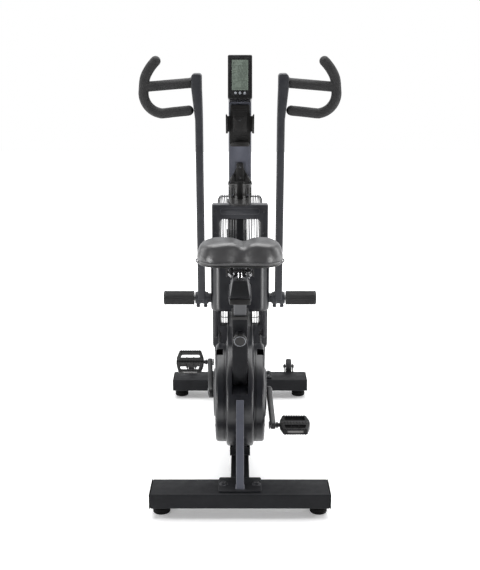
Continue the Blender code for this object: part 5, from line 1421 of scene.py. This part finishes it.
def inflate(made, cap):
    """Remeshes a cushion and blows it up with cloth simulation, moving no point further than the cap."""
    frames, spare = 20, 0.004
    remesh = made.modifiers.new("remesh", "REMESH")
    remesh.mode = "VOXEL"
    remesh.voxel_size = 0.0045
    applied(made)
    rest = [v.co.copy() for v in made.data.vertices]
    cloth = made.modifiers.new("cloth", "CLOTH")
    cloth.settings.use_pressure = True
    cloth.settings.uniform_pressure_force = 4.0
    cloth.settings.effector_weights.gravity = 0.0
    cloth.settings.tension_stiffness = 25
    cloth.settings.compression_stiffness = 25
    cloth.point_cache.frame_end = frames
    for number in range(1, frames + 1):
        bpy.context.scene.frame_set(number)
    applied(made)
    bpy.context.scene.frame_set(1)
    base, ceiling = low("saddle_pad").z, high("saddle_pad").z + spare
    for vertex, start in zip(made.data.vertices, rest):
        moved = vertex.co - start
        if moved.length > cap:
            vertex.co = start + moved.normalized() * cap
        vertex.co.z = min(max(vertex.co.z, base), ceiling)
    relax = made.modifiers.new("relax", "CORRECTIVE_SMOOTH")
    relax.use_only_smooth = True
    relax.iterations = 12
    relax.factor = 0.5
    detail = made.modifiers.new("detail", "SUBSURF")
    detail.levels = 1
    detail.render_levels = 1
    applied(made)
    return shade(made, 80)


def saddle():
    """The inflated vinyl pad, its piped lower seam with stitches, and the moulded pan with rivets."""
    cushion = inflate(saddle_shape(), 0.007)
    dress(cushion, "saddle", "saddle_vinyl", "saddle_pad")
    base = low("saddle_pad").z
    seam = [Vector((p.x, p.y, base + 0.0052)) for p in saddle_loop(0.972, 8)]
    dress(tube("saddle_piping", seam, 0.0021, 10, closed=True), "saddle", "saddle_vinyl")
    stitches = []
    walk = saddle_loop(0.985, 16)
    for i in range(0, len(walk) - 2, 3):
        start, end = walk[i], walk[i + 1]
        lift = Vector((0, 0, base + 0.0105))
        stitches.append(tube("stitch", [start + lift, start.lerp(end, 0.5) + lift, end + lift], 0.00045, 6))
    dress(merged("saddle_stitches", stitches), "saddle", "moulded_plastic")
    flat = [(p.x, p.y) for p in saddle_loop(0.905, 6)]
    parts = [prism("pan", flat, "Z", (0.8055, base - 0.0003), 0.0016, 3)]
    top = CLAMP + Vector((0, 0, 0.052))
    for side in SIDES:
        ear = link_plate("ear", CLAMP, 0.0128, top, 0.0195, across(side, (0.0397, 0.0433)), 0.0008)
        cut(ear, block("ear_tops", (-0.1, CLAMP.y - 0.1, base - 0.0004), (0.1, CLAMP.y + 0.1, base + 0.1)))
        parts.append(ear)
    route = mm((30, 60, 804), (30, 110, 800.5), (29, 200, 800.5), (24, 250, 804.5))
    for sign in SIDES.values():
        rail = [(sign * x, ahead(y), z) for x, y, z in route]
        parts.append(tube("pan_rib", smooth_path(rail, 5), 0.003, 10, round_ends=True))
    dress(merged("saddle_pan_moulding", parts), "saddle", "moulded_plastic", "saddle_pan")
    seats = [(x, ahead(0.0237), base - 0.0022) for x in (0.066, -0.066)]
    screws("saddle_rivets", seats, (0, -1, 0.1), 0.0032, 0.002, "saddle", "clamp_chrome")


# Console, holder and bottle cage


def console_frame():
    """Origin in the middle of the screen, +Z up along it, -Y out of it to the rider."""
    return Matrix.Translation(Vector((0, ahead(0.575), 1.345))) @ Matrix.Rotation(-CONSOLE_TILT, 4, "X")


def console():
    """The housing with a stepped bezel, the screen with its segments, and three buttons."""
    place = console_frame()
    half, depth, centre_z = 0.075, 0.026, 1.345
    button_x, button_z = (-0.0155, 0.0, 0.0155), -0.056

    def layer(name, outline, y_range, bevel=0.0, segments=1):
        return prism(name, outline, "Y", y_range, bevel, segments, place)

    front = layer("front", panel(0.0415, -half, half, 0.005, 6), (0.0, depth), 0.0024, 4)
    tools = [layer("recess", panel(0.0283, -0.0463, 0.0583, 0.0012, 3), (-0.004, 0.0019))]
    for x in button_x:
        ends = [place @ Vector((x, y, button_z)) for y in (-0.004, 0.005)]
        tools.append(rod("hole", *ends, 0.0049, 0, 32))
    cut(front, *tools)
    mast_face = low("mast").y - MAST_GAP
    back = place @ Vector((0, depth, 0))
    meet = back.z + (mast_face - back.y) / math.tan(CONSOLE_TILT)
    corners = ((0.004, -half + 0.002), (depth - 0.001, half - 0.02))
    wedge = [yz(place @ Vector((0, y, z))) for y, z in corners]
    wedge += [(mast_face, meet), (mast_face, centre_z - half - 0.012)]
    neck = prism("neck", wedge, "X", (-0.0372, 0.0372), 0.0024, 3)
    ridge = layer("ridge", panel(0.0335, -0.0665, 0.064, 0.003, 4), (-0.0007, 0.001), 0.0003, 2)
    cut(ridge, layer("inner", panel(0.0322, -0.0652, 0.0627, 0.0025, 4), (-0.003, 0.004)))
    dress(merged("console_body", [front, neck, ridge]), "frame", "console_plastic", "console_housing")
    glass = layer("display_glass", panel(0.028, -0.046, 0.058, 0.001, 3), (0.0004, 0.0017), 0.0002, 1)
    dress(glass, "frame", "display_lens", "display_lens")
    dress(display_segments(place), "frame", "display_lens", look="lcd_ink")
    cap = mm((0, 1.6), (2.6, 1.7), (4, 1.1), (4.5, 0.2), (4.5, -2.5), (0, -2.5))
    out = place.to_3x3() @ Vector((0, -1, 0))
    for name, x in zip(("button_left", "button_middle", "button_right"), button_x):
        button = turned(name + "_cap", cap, place @ Vector((x, 0, button_z)), out, 40)
        dress(button, name, "button_plastic", name)


def display_segments(place):
    """Plain zeros made of six segments in five rows, with thin rules between them."""
    bars = []

    def bar(x, z, width, height):
        lowest, highest = (x - width / 2, 0.0001, z - height / 2), (x + width / 2, 0.0006, z + height / 2)
        bars.append(block("bar", lowest, highest, 0, 1, place))

    def zero(x, z, size):
        long, thick = size * 0.42, size * 0.12
        side = long / 2 + thick / 2
        bar(x, z + size / 2, long, thick)
        for dx, dz in ((side, size / 4), (side, -size / 4)):
            bar(x + dx, z + dz, thick, long)
        bar(x, z - size / 2, long, thick)
        for dx, dz in ((-side, -size / 4), (-side, size / 4)):
            bar(x + dx, z + dz, thick, long)

    right = 0.018
    rows = ((2, 0.046, 0.009), (3, 0.03, 0.012), (3, 0.011, 0.012), (3, -0.008, 0.012), (2, -0.027, 0.012))
    pointed = 0.011
    for count, z, size in rows:
        pitch = size * 0.86
        for k in range(count):
            zero(right - (count - 1 - k) * pitch, z, size)
        if z == pointed:
            bar(right - 1.5 * pitch, z - size * 0.5, size * 0.13, size * 0.13)
        bar(-0.019, z + size * 0.28, 0.009, 0.0012)
        bar(-0.0205, z + size * 0.02, 0.006, 0.0012)
    for z in (0.0385, 0.0205, 0.0015, -0.0175, -0.0365):
        bar(0, z, 0.05, 0.0005)
    for k in range(10):
        bar(-0.0225 + k * 0.005, -0.041, 0.0034, 0.0016 + 0.0005 * (k % 4))
    return merged("display_digits", bars)


def device_holder():
    """The phone holder: a rounded back plate, hooked side jaws, a pad and a ledge."""
    back = low("mast").y - MAST_GAP
    parts = []

    def layer(name, outline, far, near, bevel, segments=2):
        return prism(name, outline, "Y", (back - far, back - near), bevel, segments)

    body = panel(0.0372, 1.1095, 1.25, [0.01, 0.01, 0.004, 0.004], 6, 0.0335)
    parts.append(layer("body", body, 0.0085, 0, 0.0018, 3))
    parts.append(layer("ledge", panel(0.0335, 1.1095, 1.1175, 0.0025, 4), 0.034, 0.004, 0.0014))
    parts.append(layer("lip", panel(0.03, 1.1095, 1.125, 0.0035, 4, 0.0285), 0.037, 0.0325, 0.0014))
    parts.append(layer("wings", panel(0.0482, 1.158, 1.212, 0.004, 4), 0.0078, 0.0032, 0.001))
    jaw = mm((44.8, 1153.5), (48.7, 1156), (49.2, 1217), (47.6, 1220.5), (45.2, 1215))
    hook = mm((41.2, 1155), (48.7, 1154), (49.2, 1218.5), (43, 1216))
    for sign in SIDES.values():
        parts.append(layer("jaw", [(sign * x, z) for x, z in jaw], 0.031, 0.0045, 0.0008))
        parts.append(layer("hook", [(sign * x, z) for x, z in hook], 0.0335, 0.03, 0.0009))
    for z in (1.135, 1.143, 1.226, 1.234):
        lowest, highest = (-0.024, back - 0.0094, z), (0.024, back - 0.008, z + 0.0022)
        parts.append(block("groove", lowest, highest, 0.0006, 2))
    dress(merged("device_holder_body", parts), "frame", "moulded_plastic", "device_holder")
    pad = layer("device_holder_pad", panel(0.024, 1.158, 1.212, 0.004, 4), 0.0098, 0.008, 0.0008)
    dress(pad, "frame", "moulded_plastic")
    screws("device_holder_screw", [(0, back - 0.0104, 1.198)], (0, -1, 0), 0.0042, 0.0016)


def bottle_cage():
    """A cup with windows and a split, its spine and shield on the mast, two straps and two screws."""
    at = Vector((0, ahead(0.556), 0))
    outer, inner = 0.0403, 0.0378
    profile = [(outer - 0.0006, 0.985), (outer + 0.0006, 0.9842), (outer + 0.0006, 0.979), (outer, 0.978)]
    profile += [(outer, 0.948), (outer + 0.0005, 0.947), (outer + 0.0005, 0.943), (outer, 0.942)]
    profile += [(outer, 0.928)]
    profile += arc((outer - 0.014, 0.9215), 0.014, 0, -75, 8)
    profile += mm((17, 906.5), (15.5, 907.5), (15.5, 909.8), (23, 910))
    profile += [(inner - 0.006, 0.915), (inner, 0.928), (inner, 0.984), (inner + 0.0008, 0.985)]
    cup = turned("bottle_cage_cup", profile, at, (0, 0, 1), 96, closed=True)
    tools = [block("split", (-0.0095, at.y - outer - 0.01, 0.933), (0.0095, at.y - 0.01, 1.0), 0.003, 3)]
    for k in range(4):
        for sign in SIDES.values():
            turn = Matrix.Translation(at) @ Matrix.Rotation(math.radians(sign * (38 + 32 * k)), 4, "Z")
            tools.append(block("window", (-0.0075, -0.06, 0.936), (0.0075, -0.02, 0.972), 0.003, 3, turn))
    cut(cup, *tools)
    mast_face = low("mast").y - MAST_GAP
    parts = [cup]
    spine = panel(0.012, 0.93, 1.05, 0.004, 5)
    parts.append(prism("spine", spine, "Y", (at.y + 0.0385, mast_face), 0.0014, 3))
    edge = mm((7.5, 1051), (10.5, 1038), (18.5, 1020), (27.5, 1003), (33, 984), (34.5, 940))
    edge = smooth_path([(x, z, 0) for x, z in edge], 4)
    outline = [(p.x, p.y) for p in edge] + [(-p.x, p.y) for p in reversed(edge)]
    parts.append(prism("shield", outline, "Y", (mast_face - 0.0042, mast_face), 0.001, 2))
    route = [(0.0398, at.y - 0.002, 0.981), (0.0372, at.y + 0.014, 0.989), (0.029, at.y + 0.029, 1.0)]
    route += [(0.023, mast_face - 0.005, 1.009)]
    for sign in SIDES.values():
        path = smooth_path([(sign * x, y, z) for x, y, z in route], 6)
        parts.append(tube("strap", path, 0.003, 12, round_ends=True))
    dress(merged("bottle_cage_cup", parts), "frame", "moulded_plastic", "bottle_cage")
    seats = [(0, at.y + 0.0387, z) for z in (0.998, 1.036)]
    screws("bottle_cage_screws", seats, (0, -1, 0), 0.0045, 0.002)


# Stage, lights and camera


def stage():
    """A pale floor that glows more the further it is from the bike, so that it fades into the backdrop."""
    shape = bmesh.new()
    corners = ((-9, -1.35), (9, -1.35), (9, 11), (-9, 11))
    shape.faces.new([shape.verts.new((x, y, -0.0004)) for x, y in corners])
    floor = add("studio_floor", shape)
    made = bpy.data.materials.new("studio_floor")
    made.use_nodes = True
    tree = made.node_tree
    at = node_of(tree, "TexCoord").outputs["Object"]
    tints = {"A": (0.9, 0.9, 0.9, 1), "B": (0.93, 0.93, 0.93, 1)}
    paint = mixed(tree, tints, {"Factor": noise(tree, at, 3.0)})
    length = node_of(tree, "VectorMath", {}, {0: at}, operation="LENGTH").outputs["Value"]
    values = {"Specular IOR Level": 0.15, "Roughness": 0.7, "Emission Color": (1, 1, 1, 1)}
    glow = mapped(tree, length, 0.22, 1.0, 0.9, 3.0)
    fill(tree, tree.nodes["Principled BSDF"], values, {"Base Color": paint, "Emission Strength": glow})
    floor.data.materials.append(made)


def backdrop():
    """A white surround: full white where it is seen, and dimmer behind the camera where it only lights."""
    world = bpy.data.worlds.new("studio")
    bpy.context.scene.world = world
    world.use_nodes = True
    tree = world.node_tree
    seen = tree.nodes["Background"]
    fill(tree, seen, {"Color": (1, 1, 1, 1), "Strength": 1.0}, {})
    at = node_of(tree, "TexCoord").outputs["Generated"]
    split = node_of(tree, "SeparateXYZ", {}, {"Vector": at})
    toward = mapped(tree, split.outputs["Y"], 0.012, 0.85, -0.15, 0.85)
    up = mapped(tree, split.outputs["Z"], 0.0, 0.34, 0.3, 0.95)
    total = node_of(tree, "Math", {}, {0: toward, 1: up}, operation="ADD").outputs["Value"]
    lit = node_of(tree, "Background", {"Color": (0.97, 0.98, 1.0, 1)}, {"Strength": total})
    ray = node_of(tree, "LightPath").outputs["Is Camera Ray"]
    feeds = {"Fac": ray, 1: lit.outputs["Background"], 2: seen.outputs["Background"]}
    choose = node_of(tree, "MixShader", {}, feeds)
    fill(tree, tree.nodes["World Output"], {}, {"Surface": choose.outputs["Shader"]})


def soft_light(name, at, target, width, height, power):
    lamp = bpy.data.lights.new(name, "AREA")
    lamp.shape = "RECTANGLE"
    lamp.size = width
    lamp.size_y = height
    lamp.energy = power
    made = bpy.data.objects.new(name, lamp)
    made.matrix_world = Matrix.Translation(Vector(at)) @ facing(Vector(at) - Vector(target))
    bpy.context.scene.collection.objects.link(made)


def lights():
    soft_light("overhead", (0, 0.3, 3.4), (0, 0.3, 0), 4.0, 3.6, 190)
    soft_light("strip_left", (-1.95, -2.45, 0.15), (0, -0.15, 0.6), 0.7, 1.9, 60)
    soft_light("strip_right", (1.95, -2.35, 0.15), (0, -0.15, 0.6), 0.7, 1.9, 54)
    soft_light("side_left", (-2.6, 0.1, 1.3), (0, 0.1, 0.8), 0.8, 2.0, 22)
    soft_light("side_right", (2.6, 0.1, 1.3), (0, 0.1, 0.8), 0.8, 2.0, 26)


def camera():
    data = bpy.data.cameras.new("camera")
    data.lens = 56.842
    data.sensor_width = 36
    data.clip_end = 60
    made = bpy.data.objects.new("camera", data)
    made.location = (0, -3.213, 1.4)
    made.rotation_euler = (math.radians(90 - 14.04), 0, 0)
    bpy.context.scene.collection.objects.link(made)
    bpy.context.scene.camera = made
    bpy.context.scene.view_settings.view_transform = "Standard"


# Assembly


def carried_nodes():
    """Gives the CAD nodes that stay in view their finish."""
    for name, node in frame["nodes"].items():
        if not node.hide_render:
            node.data.materials.clear()
            node.data.materials.append(FINISHES[SLOT_OF[name]])
            shade(node, 30)


camera()
backdrop()
lights()
stage()
stabiliser("rear_stabiliser")
stabiliser("front_stabiliser")
for build in (
    main_beam, rear_strut, seat_tube, front_post, fork_frame, front_fork, mast, wind_guard, fan, pulleys,
    drive_belt, fan_axle, pivot_shaft, console, device_holder, bottle_cage, height_knob, slider,
    seat_carriage, saddle,
):
    build()
for side in SIDES:
    levelling_foot("levelling_foot_rear_" + side)
    levelling_foot("levelling_foot_front_" + side)
    for build in (
        transport_wheel, casing, crank_cover, cage, crank_arm, pedal, con_rod, foot_peg, arm_hub, arm, handle
    ):
        build(side)
carried_nodes()
